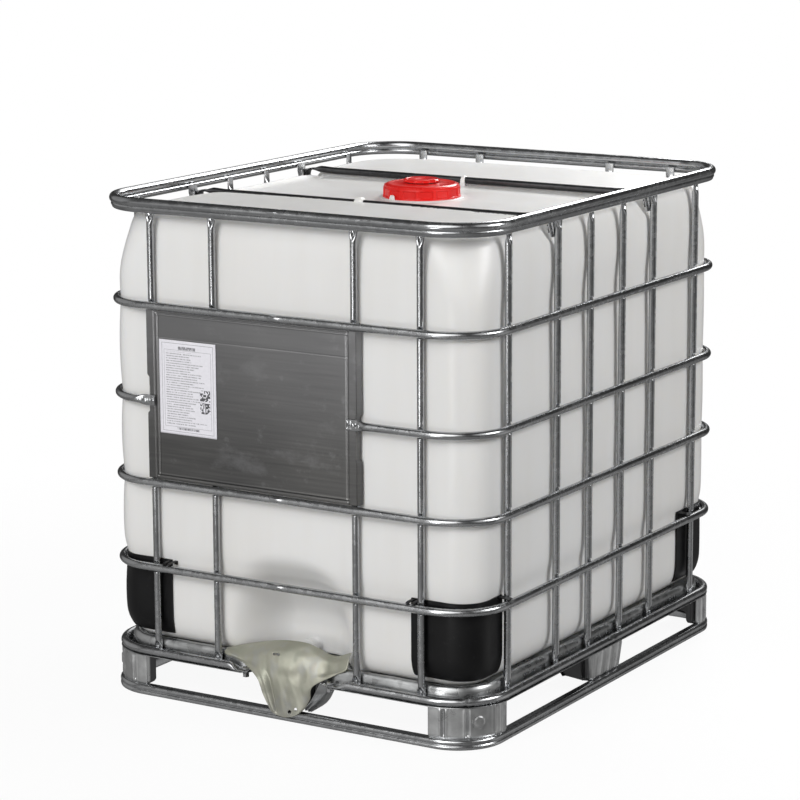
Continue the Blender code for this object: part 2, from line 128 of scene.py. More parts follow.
def sweep(path, outline, up=(0, 0, 1), closed=False):
    """Carries an outline of (outward, upward) offsets along a path: points, and their lay."""
    path = np.asarray(path, float)
    ahead = np.roll(path, -1, 0) - np.roll(path, 1, 0) if closed else np.gradient(path, axis=0)
    tangent = unit(ahead)
    side = unit(np.cross(tangent, up))
    rise = np.cross(side, tangent)
    o = np.broadcast_to(outline, (len(path),) + np.shape(outline)[-2:])
    rows = path[:, None] + side[:, None] * o[..., :1] + rise[:, None] * o[..., 1:]
    run = np.r_[0, np.cumsum(np.linalg.norm(np.diff(path, axis=0), axis=1))]
    if closed:
        run = np.abs(run - run[-1] / 2)
    lay = np.concatenate([np.broadcast_to(run[:, None, None], o.shape[:2] + (1,)), o], -1)
    return rows, lay


def turned(profile, sides, place, loss=None):
    """Rings of a turned part. A profile row is radius, height and, with loss, its share of it."""
    a = circle(sides)
    rows = []
    for r, h, *share in profile:
        rr = r - share[0] * loss(a) if loss else r
        rows.append(np.stack(place(rr * np.cos(a), rr * np.sin(a), h + 0 * a), -1))
    return np.array(rows)


def on_top(x, y, h):
    return x, y, h


def at_outlet(start):
    """Turned parts of the outlet point forwards from a wall at start."""
    return lambda x, y, h: (x, start - h, OUTLET_Z + y)


def arc_points(centre, radius, degrees):
    return [(centre[0] + radius * math.cos(math.radians(b)),
             centre[1] + radius * math.sin(math.radians(b))) for b in degrees]


def dent(rows, at, radius, depth, direction):
    """Pushes the points near a place along a direction, in a smooth round hollow."""
    d = np.linalg.norm(rows - np.asarray(at, float), axis=-1) / radius
    return rows + (depth * ease(1 - d))[..., None] * unit(np.asarray(direction, float))


def crumple(rows, at, radius, depth):
    """Roughens the points near a place, as a pressed or welded joint does."""
    d = np.linalg.norm(rows - np.asarray(at, float), axis=-1) / radius
    push = np.stack([ripple(rows, 5, k) for k in (1, 4, 9)], -1)
    return rows + (depth * ease(1.3 - 1.3 * d))[..., None] * push


def skin(rows, lay=None, loop_rows=False, loop_cols=True, caps="both", holes=()):
    """Faces over a grid of points. Rows run along the piece, columns run round or across it."""
    m, n = rows.shape[:2]
    index = np.arange(m * n).reshape(m, n)
    a, b = (index, np.roll(index, -1, 0)) if loop_rows else (index[:-1], index[1:])
    quads = np.stack([a, np.roll(a, -1, 1), np.roll(b, -1, 1), b], -1)
    if not loop_cols:
        quads = quads[:, :-1]
    quads, points = quads.reshape(-1, 4), rows.reshape(-1, 3)
    for at, radius in holes:
        middle = points[quads].mean(1)
        quads = quads[np.linalg.norm(middle - np.asarray(at, float), axis=1) > radius]
    faces = quads.tolist()
    if loop_cols and not loop_rows:
        if caps in ("both", "start"):
            faces.append(index[0][::-1].tolist())
        if caps in ("both", "end"):
            faces.append(index[-1].tolist())
    lay = rows if lay is None else lay
    return points, faces, np.asarray(lay, float).reshape(-1, 3)


def piece(name, parts, material, node, body="container", sharp=40, sheet=0.0):
    """Makes one object from its skins, in metres, ties it to a body and hides the CAD node it
    stands for.
    """
    points, faces, lays, base = [], [], [], 0
    for v, f, l in parts:
        points.append(v)
        lays.append(l)
        faces += [[i + base for i in face] for face in f]
        base += len(v)
    mesh = bpy.data.meshes.new(name)
    mesh.from_pydata((np.vstack(points) * MM).tolist(), [], faces)
    attribute = mesh.attributes.new("lay", "FLOAT_VECTOR", "POINT")
    attribute.data.foreach_set("vector", (np.vstack(lays) * MM).astype(np.float32).ravel())
    if not sheet:
        bm = bmesh.new()
        bm.from_mesh(mesh)
        bmesh.ops.recalc_face_normals(bm, faces=bm.faces)
        bm.to_mesh(mesh)
        bm.free()
    mesh.shade_smooth()
    mesh.set_sharp_from_angle(angle=math.radians(sharp))
    mesh.materials.append(material)
    obj = bpy.data.objects.new(name, mesh)
    bpy.context.scene.collection.objects.link(obj)
    if sheet:
        mod = obj.modifiers.new("sheet", "SOLIDIFY")
        mod.thickness, mod.offset = abs(sheet) * MM, math.copysign(1, sheet)
    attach(obj, body)
    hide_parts(node)


# ---------------------------------------------------------------- materials

class Nodes:
    def __init__(self, owner):
        owner.use_nodes = True
        self.tree = owner.node_tree

    def node(self, kind, wires=(), **props):
        made = self.tree.nodes.new("ShaderNode" + kind)
        for key, value in props.items():
            setattr(made, key, value)
        for key, value in dict(wires).items():
            if hasattr(value, "is_output"):
                self.tree.links.new(value, made.inputs[key])
            else:
                made.inputs[key].default_value = value
        return made

    def finish(self, output, socket):
        self.tree.links.new(socket, self.tree.nodes[output].inputs["Surface"])


class Surface(Nodes):
    """A Principled material with short names for the nodes that feed it."""

    def __init__(self, name, **values):
        self.mat = bpy.data.materials.new(name)
        super().__init__(self.mat)
        self.shader = self.tree.nodes["Principled BSDF"]
        for key, value in values.items():
            self.shader.inputs[key.replace("_", " ")].default_value = value

    def lay(self, scale):
        source = self.node("Attribute", attribute_name="lay").outputs["Vector"]
        return self.node("Mapping", {"Vector": source, "Scale": scale}).outputs[0]

    def place(self, scale=(1, 1, 1)):
        source = self.node("TexCoord").outputs["Object"]
        return self.node("Mapping", {"Vector": source, "Scale": scale}).outputs[0]

    def noise(self, where, scale, detail=4.0, rough=0.55):
        return self.node("TexNoise", {"Vector": where, "Scale": scale, "Detail": detail,
                                      "Roughness": rough}).outputs[0]

    def cells(self, where, scale):
        made = self.node("TexVoronoi", {"Vector": where, "Scale": scale, "Randomness": 1.0})
        return self.node("SeparateColor", {"Color": made.outputs["Color"]}).outputs[0]

    def ramp(self, fac, *stops):
        made = self.node("ValToRGB", {"Fac": fac})
        elements = made.color_ramp.elements
        while len(elements) < len(stops):
            elements.new(0.5)
        for element, (at, colour) in zip(elements, stops):
            element.position = at
            element.color = (colour,) * 3 + (1,) if isinstance(colour, float) else (*colour, 1)
        return made.outputs[0]

    def span(self, value, low, high, out_low=0.0, out_high=1.0):
        return self.node("MapRange", {"Value": value, 1: low, 2: high, 3: out_low,
                                      4: out_high}).outputs[0]

    def maths(self, kind, a, b=0.0):
        return self.node("Math", {0: a, 1: b}, operation=kind).outputs[0]

    def times(self, a, b):
        return self.maths("MULTIPLY", a, b)

    def plus(self, a, b):
        return self.maths("ADD", a, b)

    def axis(self, name):
        place = self.node("TexCoord").outputs["Object"]
        return self.node("SeparateXYZ", {"Vector": place}).outputs[name]

    def mix(self, fac, a, b):
        return self.node("Mix", {0: fac, 6: a, 7: b}, data_type="RGBA").outputs[2]

    def colour(self, socket):
        self.tree.links.new(socket, self.shader.inputs["Base Color"])

    def rough(self, socket):
        self.tree.links.new(socket, self.shader.inputs["Roughness"])

    def relief(self, height, depth_mm, strength=1.0):
        wires = {"Height": height, "Distance": depth_mm * MM, "Strength": strength}
        if self.shader.inputs["Normal"].links:
            wires["Normal"] = self.shader.inputs["Normal"].links[0].from_socket
        made = self.node("Bump", wires)
        self.tree.links.new(made.outputs[0], self.shader.inputs["Normal"])


def galvanised(name, dark, light, rough=(0.15, 0.33), streak=(5, 160, 160), spangle=95.0):
    """Galvanised steel: drawn streaks along the piece, faint crystal spangle, dull blotches."""
    s = Surface(name, Metallic=1.0)
    lines = s.noise(s.lay(streak), 1.0, 5.0, 0.6)
    crystals = s.cells(s.place(), spangle)
    blotch = s.noise(s.place(), 11.0, 3.0)
    speck = s.noise(s.place(), 420.0, 2.0)
    tone = s.plus(s.times(lines, 0.74), s.times(crystals, 0.09))
    tone = s.plus(tone, s.times(blotch, 0.17))
    middle = tuple((a + b) / 2 for a, b in zip(dark, light))
    s.colour(s.ramp(tone, (0.32, dark), (0.52, middle), (0.70, light)))
    s.rough(s.span(s.plus(lines, s.times(crystals, 0.25)), 0.35, 0.90, *rough))
    s.relief(lines, 0.18)
    s.relief(s.plus(crystals, s.times(speck, 0.8)), 0.03)
    return s


def foot_zinc():
    """Galvanised pressings, with painted shade: near black where they face in under the deck."""
    s = galvanised("zinc_foot", (0.50, 0.505, 0.51), (0.80, 0.81, 0.81), (0.24, 0.40),
                   (20, 20, 20), 48.0)
    squares = []
    for name, centre in (("X", FOOT_X), ("Y", FOOT_Y)):
        beyond = s.maths("SUBTRACT", s.maths("ABSOLUTE", s.axis(name)), centre * MM)
        beyond = s.maths("MAXIMUM", beyond, 0.0)
        squares.append(s.times(beyond, beyond))
    # painted shade: inboard of the feet's outer arcs, under the deck, the colour is mixed towards
    # near black
    shade_under_deck = s.span(s.maths("SQRT", s.plus(*squares)), 0.104, 0.110, 0.90, 0.0)
    bare = s.shader.inputs["Base Color"].links[0].from_socket
    s.colour(s.mix(shade_under_deck, bare, (0.04, 0.04, 0.042, 1)))
    return s.mat


def natural_plastic(name, colour, sheen=0.36):
    """Milky blow-moulded polyethylene with faint flow streaks and a fine satin grain."""
    s = Surface(name, Subsurface_Weight=0.25, Subsurface_Scale=0.012, IOR=1.5,
                Specular_IOR_Level=0.45)
    s.shader.inputs["Subsurface Radius"].default_value = (1.0, 0.9, 0.75)
    cloud = s.noise(s.place((1.0, 1.0, 0.35)), 3.2, 3.0)
    flow = s.noise(s.place((14.0, 14.0, 1.2)), 1.0, 4.0)
    grime = s.noise(s.place(), 38.0, 6.0, 0.7)
    tone = s.plus(s.times(cloud, 0.6), s.times(flow, 0.4))
    low = tuple(c * k for c, k in zip(colour, (0.955, 0.945, 0.93)))
    clean = s.ramp(tone, (0.36, low), (0.62, colour))
    s.colour(s.mix(s.span(grime, 0.66, 0.84, 0.0, 0.12), clean, (*(c * 0.86 for c in colour), 1)))
    s.rough(s.span(s.noise(s.place(), 26.0, 5.0), 0.3, 0.75, sheen - 0.03, sheen + 0.04))
    s.relief(s.noise(s.place(), 900.0, 2.0), 0.05)
    s.relief(flow, 0.35)
    return s.mat


def moulded(name, colour, rough, grain=700.0, depth=0.05, subsurface=0.0, gloss=0.5):
    """Injection-moulded plastic: fine grain, scuffs that turn it paler and duller."""
    s = Surface(name, Subsurface_Weight=subsurface, Subsurface_Scale=0.004, IOR=1.5,
                Specular_IOR_Level=gloss)
    scuff = s.span(s.noise(s.place(), 60.0, 8.0, 0.75), 0.60, 0.78)
    cloud = s.noise(s.place(), 14.0, 3.0)
    worn = tuple(c + (0.55 - c) * 0.07 for c in colour)
    plain = s.ramp(cloud, (0.35, tuple(c * 0.88 for c in colour)), (0.65, colour))
    s.colour(s.mix(s.times(scuff, 0.5), plain, (*worn, 1)))
    s.rough(s.plus(s.span(cloud, 0.3, 0.7, *rough), s.times(scuff, 0.12)))
    s.relief(s.noise(s.place(), grain, 2.0), depth)
    return s.mat


def plate_zinc():
    """Dark zinc sheet with a faint rolling direction, light smears and finger marks, and a painted
    highlight that lightens its upper part.
    """
    s = Surface("plate_zinc", Metallic=1.0)
    rolled = s.noise(s.place((6.0, 6.0, 240.0)), 1.0, 4.0)
    smear = s.noise(s.place((1.0, 1.0, 1.6)), 7.0, 7.0, 0.62)
    mark = s.span(s.noise(s.place(), 24.0, 6.0, 0.7), 0.60, 0.80)
    low = s.noise(s.place(), 2.6, 2.0)
    # painted highlight: the colour turns lighter towards the top of the plate
    high = s.span(s.axis("Z"), 0.58, 0.88)
    base = s.ramp(s.plus(s.times(rolled, 0.35), s.times(low, 0.65)),
                  (0.32, (0.115, 0.115, 0.117)), (0.68, (0.186, 0.184, 0.179)))
    base = s.mix(s.times(s.span(smear, 0.56, 0.74), 0.55), base, (0.36, 0.36, 0.37, 1))
    base = s.mix(s.times(high, 0.55), base, (0.42, 0.42, 0.43, 1))
    s.colour(s.mix(s.times(mark, 0.4), base, (0.44, 0.44, 0.45, 1)))
    s.rough(s.span(s.plus(rolled, mark), 0.3, 1.3, 0.34, 0.52))
    s.relief(rolled, 0.05)
    return s.mat


def passivated():
    """Yellow-green passivated zinc: oily iridescent blotches over a satin sheet, darker and greyer
    towards the bottom.
    """
    s = Surface("passivated_zinc", Metallic=0.5)
    cloud = s.noise(s.place(), 16.0, 5.0, 0.6)
    film = s.noise(s.place((1.0, 1.0, 0.6)), 34.0, 3.0)
    base = s.ramp(cloud, (0.30, (0.29, 0.29, 0.235)), (0.55, (0.37, 0.37, 0.305)),
                  (0.75, (0.45, 0.45, 0.385)))
    tint = s.ramp(film, (0.35, (0.34, 0.36, 0.29)), (0.52, (0.39, 0.38, 0.31)),
                  (0.66, (0.38, 0.39, 0.40)), (0.78, (0.40, 0.36, 0.34)))
    # the sheet is mixed towards dark grey below about 0.11 m height
    low = s.span(s.axis("Z"), 0.03, 0.11, 0.34, 0.0)
    s.colour(s.mix(low, s.mix(0.4, base, tint), (0.20, 0.20, 0.19, 1)))
    s.rough(s.span(cloud, 0.3, 0.7, 0.42, 0.54))
    s.relief(s.noise(s.place(), 60.0, 4.0), 0.25)
    return s.mat


def printed_paper():
    """White label sheet: thin frames, rows of short grey strokes and two squares of blocks.

    The strokes and the blocks follow noise and spell nothing.
    """
    s = Surface("printed_paper", Roughness=0.62, Specular_IOR_Level=0.3)
    x, z = s.axis("X"), s.axis("Z")

    def between(value, low, high):
        return s.times(s.maths("GREATER_THAN", value, low), s.maths("LESS_THAN", value, high))

    def area(x0, x1, z0, z1):
        return s.times(between(x, x0 * MM, x1 * MM), between(z, z0 * MM, z1 * MM))

    def frame_line(x0, x1, z0, z1, width):
        inside = area(x0 + width, x1 - width, z0 + width, z1 - width)
        return s.maths("SUBTRACT", area(x0, x1, z0, z1), inside)

    def either(a, b):
        return s.maths("MAXIMUM", a, b)

    def step(value, size):
        return s.maths("FLOOR", s.maths("DIVIDE", value, size * MM))

    def grid(u, v):
        return s.node("CombineXYZ", {"X": u, "Y": v, "Z": 0.0}).outputs[0]

    pitch, block = 5.4, 2.6
    row = step(z, pitch)
    height = s.maths("FRACT", s.maths("DIVIDE", z, pitch * MM))
    where = grid(s.times(x, 620.0), s.times(row, 7.31))
    strokes = s.maths("GREATER_THAN", s.noise(where, 1.0, 2.0, 0.8), 0.46)
    length = s.node("TexWhiteNoise", {"W": row}, noise_dimensions="1D").outputs[0]
    line_end = s.span(length, 0.0, 1.0, -0.245, -0.186)
    ink = s.times(strokes, between(height, 0.30, 0.72))
    ink = s.times(ink, s.maths("LESS_THAN", x, line_end))
    ink = s.times(ink, area(-301, -182, 632, 796))
    codes = either(area(-211, -184, 692, 716), area(-211, -184, 664, 688))
    spots = s.node("TexWhiteNoise", {"Vector": grid(step(x, block), step(z, block))},
                   noise_dimensions="2D").outputs[0]
    blocks = s.times(s.maths("GREATER_THAN", spots, 0.42), codes)
    heading = s.times(strokes, either(area(-268, -222, 801, 808), area(-274, -214, 622, 627)))
    rule = either(frame_line(-312, -175, 617, 815, 1.4), frame_line(-306, -181, 628, 800, 1))
    shade = either(s.times(ink, 0.55), s.times(rule, 0.45))
    shade = s.times(shade, s.maths("SUBTRACT", 1.0, codes))
    shade = either(either(shade, s.times(blocks, 0.92)), s.times(heading, 0.75))
    fibre = s.noise(s.place(), 160.0, 4.0)
    blank = s.ramp(fibre, (0.3, (0.78, 0.77, 0.82)), (0.7, (0.84, 0.83, 0.88)))
    s.colour(s.mix(shade, blank, (0.03, 0.03, 0.035, 1)))
    s.relief(fibre, 0.05)
    return s.mat


TUBE = galvanised("zinc_tube", (0.36, 0.365, 0.375), (0.58, 0.59, 0.60)).mat
# painted shade: a near-black copy of the galvanised finish for the top bars, which lie in shade in
# their grooves
SHADED_BAR_ZINC = galvanised("zinc_shaded", (0.035, 0.035, 0.037), (0.11, 0.11, 0.113), (0.32, 0.50)).mat
RIM = galvanised("zinc_rim", (0.32, 0.325, 0.335), (0.56, 0.57, 0.58), (0.13, 0.30),
                 (4, 210, 210)).mat
SHEET = galvanised("zinc_sheet", (0.30, 0.305, 0.31), (0.60, 0.61, 0.61), (0.22, 0.40),
                   (9, 9, 60), 60.0).mat
FOOT = foot_zinc()
BOLT = galvanised("bright_bolt", (0.45, 0.45, 0.46), (0.74, 0.74, 0.75), (0.18, 0.36),
                  (60, 60, 60)).mat
PLATE = plate_zinc()
SPOUT = passivated()
BOTTLE = natural_plastic("milky_hdpe", (0.815, 0.815, 0.810), 0.33)
RED = moulded("red_cap_plastic", (0.74, 0.014, 0.011), (0.22, 0.36), subsurface=0.05, gloss=0.36)
WHITE = moulded("white_cap_plastic", (0.80, 0.80, 0.79), (0.28, 0.40))
BLACK = moulded("black_guard_plastic", (0.004, 0.004, 0.0045), (0.34, 0.50), 500, 0.08,
                gloss=0.26)
RUBBER = moulded("seal_rubber", (0.022, 0.022, 0.022), (0.60, 0.75), 300, 0.1)
PAPER = printed_paper()


# ---------------------------------------------------------------- cage

def ring_path(z, half_x=CAGE_X, half_y=CAGE_Y, radius=CAGE_R):
    flat = rounded(half_x, half_y, radius, 66, 60, 26)
    return np.column_stack([flat, np.full(len(flat), z)])


def tube_joint(rows, z, out=RING_R):
    """A butt joint on the front: two weld pips on its left, a narrow step at the seam."""
    for dx in (-13.0, -3.0):
        rows = dent(rows, (JOINT_X + dx, -CAGE_Y - out, z + 1.5), 8, 3.8, (0, -1, 0.5))
    rows[..., 1] = np.maximum(rows[..., 1], FRONT_LIMIT)
    offset = rows - np.array([0.0, -CAGE_Y, z])
    offset[..., 0] = 0
    front = rows[..., 1] < -CAGE_Y + 30
    groove = 0.13 * hill(rows[..., 0], JOINT_X + 9, 1.3)
    return rows - offset * (groove * front)[..., None]


def open_ring(z, ends, length, count, tuck, shape):
    """A ring cut open at the front. Its last stretch sinks by tuck; shape gives the outline by
    the distance from the cut."""
    tail = np.linspace(0, length, count)
    core = ring_path(z)
    core = core[np.argsort(np.arctan2(core[:, 0], -core[:, 1]) % (2 * math.pi))]
    front = core[:, 1] < -CAGE_Y + 0.5
    gap = (core[:, 0] < ends[1] + length + 3) & (core[:, 0] > ends[0] - length - 3)
    low = z - tuck * ease((58 - tail) / 30)
    start = np.column_stack([ends[1] + tail, 0 * tail - CAGE_Y, low])
    stop = np.column_stack([ends[0] - tail, 0 * tail - CAGE_Y, low])[::-1]
    path = np.vstack([start, core[~(front & gap)], stop])
    into = np.where(path[:, 0] > 0, path[:, 0] - ends[1], ends[0] - path[:, 0])
    into[path[:, 1] > -CAGE_Y + 1] = 1000.0
    return sweep(path, np.array([shape(i) for i in into]))


def build_rings():
    tube = oval(RING_R, RING_R, 22)
    for number in (1, 3, 4):
        z = RING_Z[number - 1]
        rows, lay = sweep(ring_path(z), tube, closed=True)
        rows = tube_joint(rows, z)
        rows = rows + 0.25 * ripple(rows, 60.0, number)[..., None] * np.array([0, 0, 1.0])
        piece("ring_%d" % number, [skin(rows, lay, loop_rows=True)], TUBE,
              "cage_ring_%d" % number)

    def flattened(into):
        t = ease((into - 26) / 22)
        o = oval(1.7 + 7.3 * t, 12.0 - 3.0 * t, 22)
        o[:, 0] += 1.2 * math.cos(into * 0.9) * (1 - t) * hill(o[:, 1], 0, 5)
        return o

    z = RING_Z[1]
    rows, lay = open_ring(z, (-331.5, 168.5), 50.5, 22, 0.0, flattened)
    for sx, x in ((1, 176), (-1, -339)):
        for dx, dz in ((0, 0), (5, 6), (5, -6), (-4, 5), (-4, -5)):
            depth = 1.6 if dx else -1.4
            rows = dent(rows, (x + dx * sx, -CAGE_Y - 2, z + dz), 4.5, depth, (0, 1, 0))
    piece("ring_2", [skin(rows, lay)], TUBE, "cage_ring_2")


def build_rim():
    section = blob([(2.2, 13.4, 10.6), (2.8, 1.4, 6.4), (2.2, -3.6, 5), (-2.4, 0, 5.8)],
                   (1.0, 6.0), 72)
    rows, lay = sweep(ring_path(RIM_Z), section, closed=True)
    rows = tube_joint(rows, RIM_Z + 12.5, 12.5)
    piece("rim", [skin(rows, lay, loop_rows=True)], RIM, "top_rim")


def upright_outline(z, crossings, flare):
    """Outline of an upright at a height: round, dented at rings, folded flat at both ends."""
    a = circle(24) + math.pi / 24
    top, low = ease((z - 1070) / 25), ease((130 - z) / 17)
    fold = max(top, low)
    width = 8.0 + (flare if top > low else 3.0) * fold
    depth = 8.0 - 5.6 * fold
    u, v = width * np.cos(a), depth * np.sin(a)
    valley = 7.5 * math.sin(math.pi * min(1, fold * 0.9)) * (fold > 0) + 1.2 * fold
    v = v - valley * np.exp(-(u / (2.2 + 2.0 * fold)) ** 2) * (v > 0) * (0.35 + 0.65 * fold)
    for ring in crossings:
        press = ease((13.5 - abs(z - ring)) / 5)
        v = np.where(v > 0, v * (1 - press) + np.minimum(v, 2.4) * press, v)
    return np.column_stack([u, v + 1.0 * fold])


def build_upright(node, foot, outward, crossings, bracket):
    heights = sorted(set(np.concatenate(
        [np.linspace(96, 140, 20), np.linspace(1050, 1110, 26), np.linspace(140, 1050, 60)]
        + [np.linspace(r - 18, r + 18, 17) for r in crossings]).round(2)))
    path = np.array([(foot[0], foot[1], z) for z in heights])
    shapes = np.array([upright_outline(z, crossings, 9.5 if bracket else 3.2) for z in heights])
    rows, lay = sweep(path, shapes, up=outward)
    parts = [skin(rows, lay)]
    if bracket:
        sx = outward[0]
        outline = ((-22, 1096), (22, 1096), (22, 1087), (15, 1072), (8, 1057), (-8, 1057),
                   (-15, 1072), (-22, 1087))
        layers = ((462.8, 0.94), (463.6, 1), (466, 1), (466.8, 0.94))
        parts.append(skin(np.array([[(sx * x, foot[1] + dy * grow, z) for dy, z in outline]
                                    for x, grow in layers])))
        lip = ((466, 1094), (474, 1094), (472.5, 1076), (469, 1061), (466, 1058))
        for side in (-1, 1):
            wall = [[(sx * x, foot[1] + side * (21.0 * (z - 1050) / 46 + off), z) for x, z in lip]
                    for off in (0.0, -2.2)]
            parts.append(skin(np.array(wall)))
    piece(node + "_tube", parts, TUBE, node)


def build_uprights():
    side_x, end_y = CAGE_X - UPRIGHT_IN, CAGE_Y - UPRIGHT_IN
    for i, x in enumerate(END_X):
        crossed = RING_Z if i == 3 else (RING_Z[0], RING_Z[2], RING_Z[3])
        build_upright("front_upright_%d" % (i + 1), (x, -end_y), (0, -1, 0), crossed, False)
        build_upright("rear_upright_%d" % (i + 1), (x, end_y), (0, 1, 0), RING_Z, False)
    for i, y in enumerate(SIDE_Y):
        for side, sx in (("left", -1), ("right", 1)):
            build_upright("%s_upright_%d" % (side, i + 1), (sx * side_x, y), (sx, 0, 0), RING_Z,
                          abs(y) == BAR_Y)


def build_base_ring():
    def flattened(into):
        t = ease((into - 26) / 26)
        o = oval(12.0 - 2.5 * t, 2.4 + 7.1 * t, 24)
        o[:, 1] -= 8.0 * (1 - t) * t * hill(o[:, 0], 0, 4) * (o[:, 1] > 0)
        return o

    rows, lay = open_ring(BASE_Z, (-90, 110), 78, 30, 6.6, flattened)
    rows = crumple(rows, (CAGE_X - 36, -CAGE_Y + 27, BASE_Z + 3), 30, 3.6)
    rows = crumple(rows, (CAGE_X + 4, 8, BASE_Z + 5), 24, 3.0)
    rows = dent(rows, (CAGE_X + 6, 2, BASE_Z + 6), 9, 3, (-1, 0, -1))
    rows = dent(rows, (CAGE_X + 6, 17, BASE_Z + 6), 8, 2.6, (-1, 0, -1))
    rows[..., 1] = np.maximum(rows[..., 1], -605.0)
    rows[..., 0] = np.minimum(rows[..., 0], 501.0)
    piece("base_tube", [skin(rows, lay)], TUBE, "base_ring")


def build_top_bars():
    xs = np.concatenate([np.linspace(0, 420, 60), np.linspace(424, 446, 12)])
    half = np.array([(x, BAR_Z + 1.6 * ease((x - 380) / 40)) for x in xs] + [
        (453, 1095.5), (457.5, 1090.5), (459.3, 1084), (459.6, 1075), (459.6, 1067)])
    full = np.vstack([half[:0:-1] * (-1, 1), half])
    shapes = []
    for x, z in full:
        t = ease((abs(x) - 418) / 24) if z > 1095.9 else 1.0
        shapes.append(oval(BAR_R - 5.6 * t, BAR_R + 4.0 * t, 20))
    for name, y in (("front", -BAR_Y), ("rear", BAR_Y)):
        path = np.column_stack([full[:, 0], np.full(len(full), y), full[:, 1]])
        rows, lay = sweep(path, np.array(shapes), up=(0, 1, 0))
        for x in (16.0, 28.0):
            rows = dent(rows, (x, y - 4, 1103), 6, 2.6, (0, 0.4, -1))
        piece("bar_" + name, [skin(rows, lay)], SHADED_BAR_ZINC, "top_bar_" + name)


# ---------------------------------------------------------------- bottle

def corner_share(x, y, reach=112.0):
    """How far round a corner a point of the plan sits: 1 on the diagonal, 0 on the flats."""
    u = np.clip((np.abs(x) - (BOTTLE_X - reach)) / reach, 0, 1)
    v = np.clip((np.abs(y) - (BOTTLE_Y - reach)) / reach, 0, 1)
    return ease(2 * u * v / np.maximum(u * u + v * v, 1e-6))


def corner_swell(rows):
    """Bottle and guards bulge between the rings, most at the corners, as a full bottle does."""
    x, y, z = rows[..., 0], rows[..., 1], rows[..., 2]
    between = np.interp(z, (140, *RING_Z[::-1], 1150), np.arange(6))
    arch = np.abs(np.sin(math.pi * between)) ** 0.75
    amount = 3.2 - 1.6 * (x > 0) * (y > 0) + 2.6 * (x < 0) * (y < 0)
    push = (0.8 + amount * arch) * corner_share(x, y)
    push = push * ease((z - 128) / 40) * ease((1075 - z) / 180)
    way = unit(np.stack([np.sign(x), np.sign(y), 0 * x], -1))
    return rows + push[..., None] * way


def bottle_outline():
    """Height, inset and corner radius up the walls and over the tight shoulder."""
    table = np.array([
        (120.8, 50, 60), (122, 42, 60), (126, 32, 60), (132, 23.5, 60), (142, 15.5, 61),
        (152, 10.8, 62), (164, 7.6, 64), (184, 5.4, 66), (230, 5, 66), (300, 5, 66), (318, 4.8, 66),
        (332, 0.8, 68), (345, 0, 68), (600, 0, 68), (900, 0, 68), (940, 0, 69), (960, 0.1, 73),
        (975, 0.3, 77), (991, 0.6, 84), (1010, 1, 93), (1024, 1.6, 100), (1036, 2.4, 106),
        (1047, 3.6, 110), (1058, 5.4, 112), (1068, 8, 112), (1076, 11, 112), (1083, 15, 113),
        (1089, 21, 115), (1094, 29, 118), (1098, 40, 122), (1101, 54, 126), (1103, 74, 128),
        (1104, 100, 130)])
    run = np.r_[0, np.cumsum(np.hypot(np.diff(table[:, 0]), np.diff(table[:, 1])))]
    t = np.unique(np.concatenate([np.linspace(0, 90, 26), np.linspace(90, 850, 96),
                                  np.linspace(850, run[-1], 88)]))
    fine = np.column_stack([np.interp(t, run, table[:, k]) for k in range(3)])
    for _ in range(4):
        fine[1:-1] = (fine[:-2] + 2 * fine[1:-1] + fine[2:]) / 4
    return fine


def bottle_top(x, y):
    """Height of the bottle's upper face: two pillows, and a saddle for the bars and the neck."""
    pillow = 1104.6 - 3.0 * ((np.abs(y) - 380) / 150) ** 2 - 3.0 * (x / 462) ** 2
    saddle = 1083.0 + 1.6 * hill(np.hypot(x, y), 0, 130) - 3.0 * (x / 462) ** 2
    z = saddle + (pillow - saddle) * ease((np.abs(y) - 237.5) / 7)
    z = z + 2.2 * ease((104 - np.hypot(x, y)) / 9)
    return z - 1.2 * ease(1 - np.hypot((x + 240) / 20, (y - 505) / 3.5))


def lug(cx, cy, half_x, half_y, z0, z1, turn=0.0):
    """A small moulded stop on the bottle, narrower towards its top."""
    c, s = math.cos(turn), math.sin(turn)
    loops = []
    for t, grow in ((0, 1), (0.35, 0.97), (0.7, 0.88), (0.9, 0.7), (1, 0.4)):
        flat = rounded(half_x * grow, half_y * grow, min(half_x, half_y) * grow * 0.55, 3, 3, 5)
        loops.append(np.column_stack([cx + c * flat[:, 0] - s * flat[:, 1],
                                      cy + s * flat[:, 0] + c * flat[:, 1],
                                      np.full(len(flat), z0 + (z1 - z0) * t)]))
    return skin(np.array(loops))


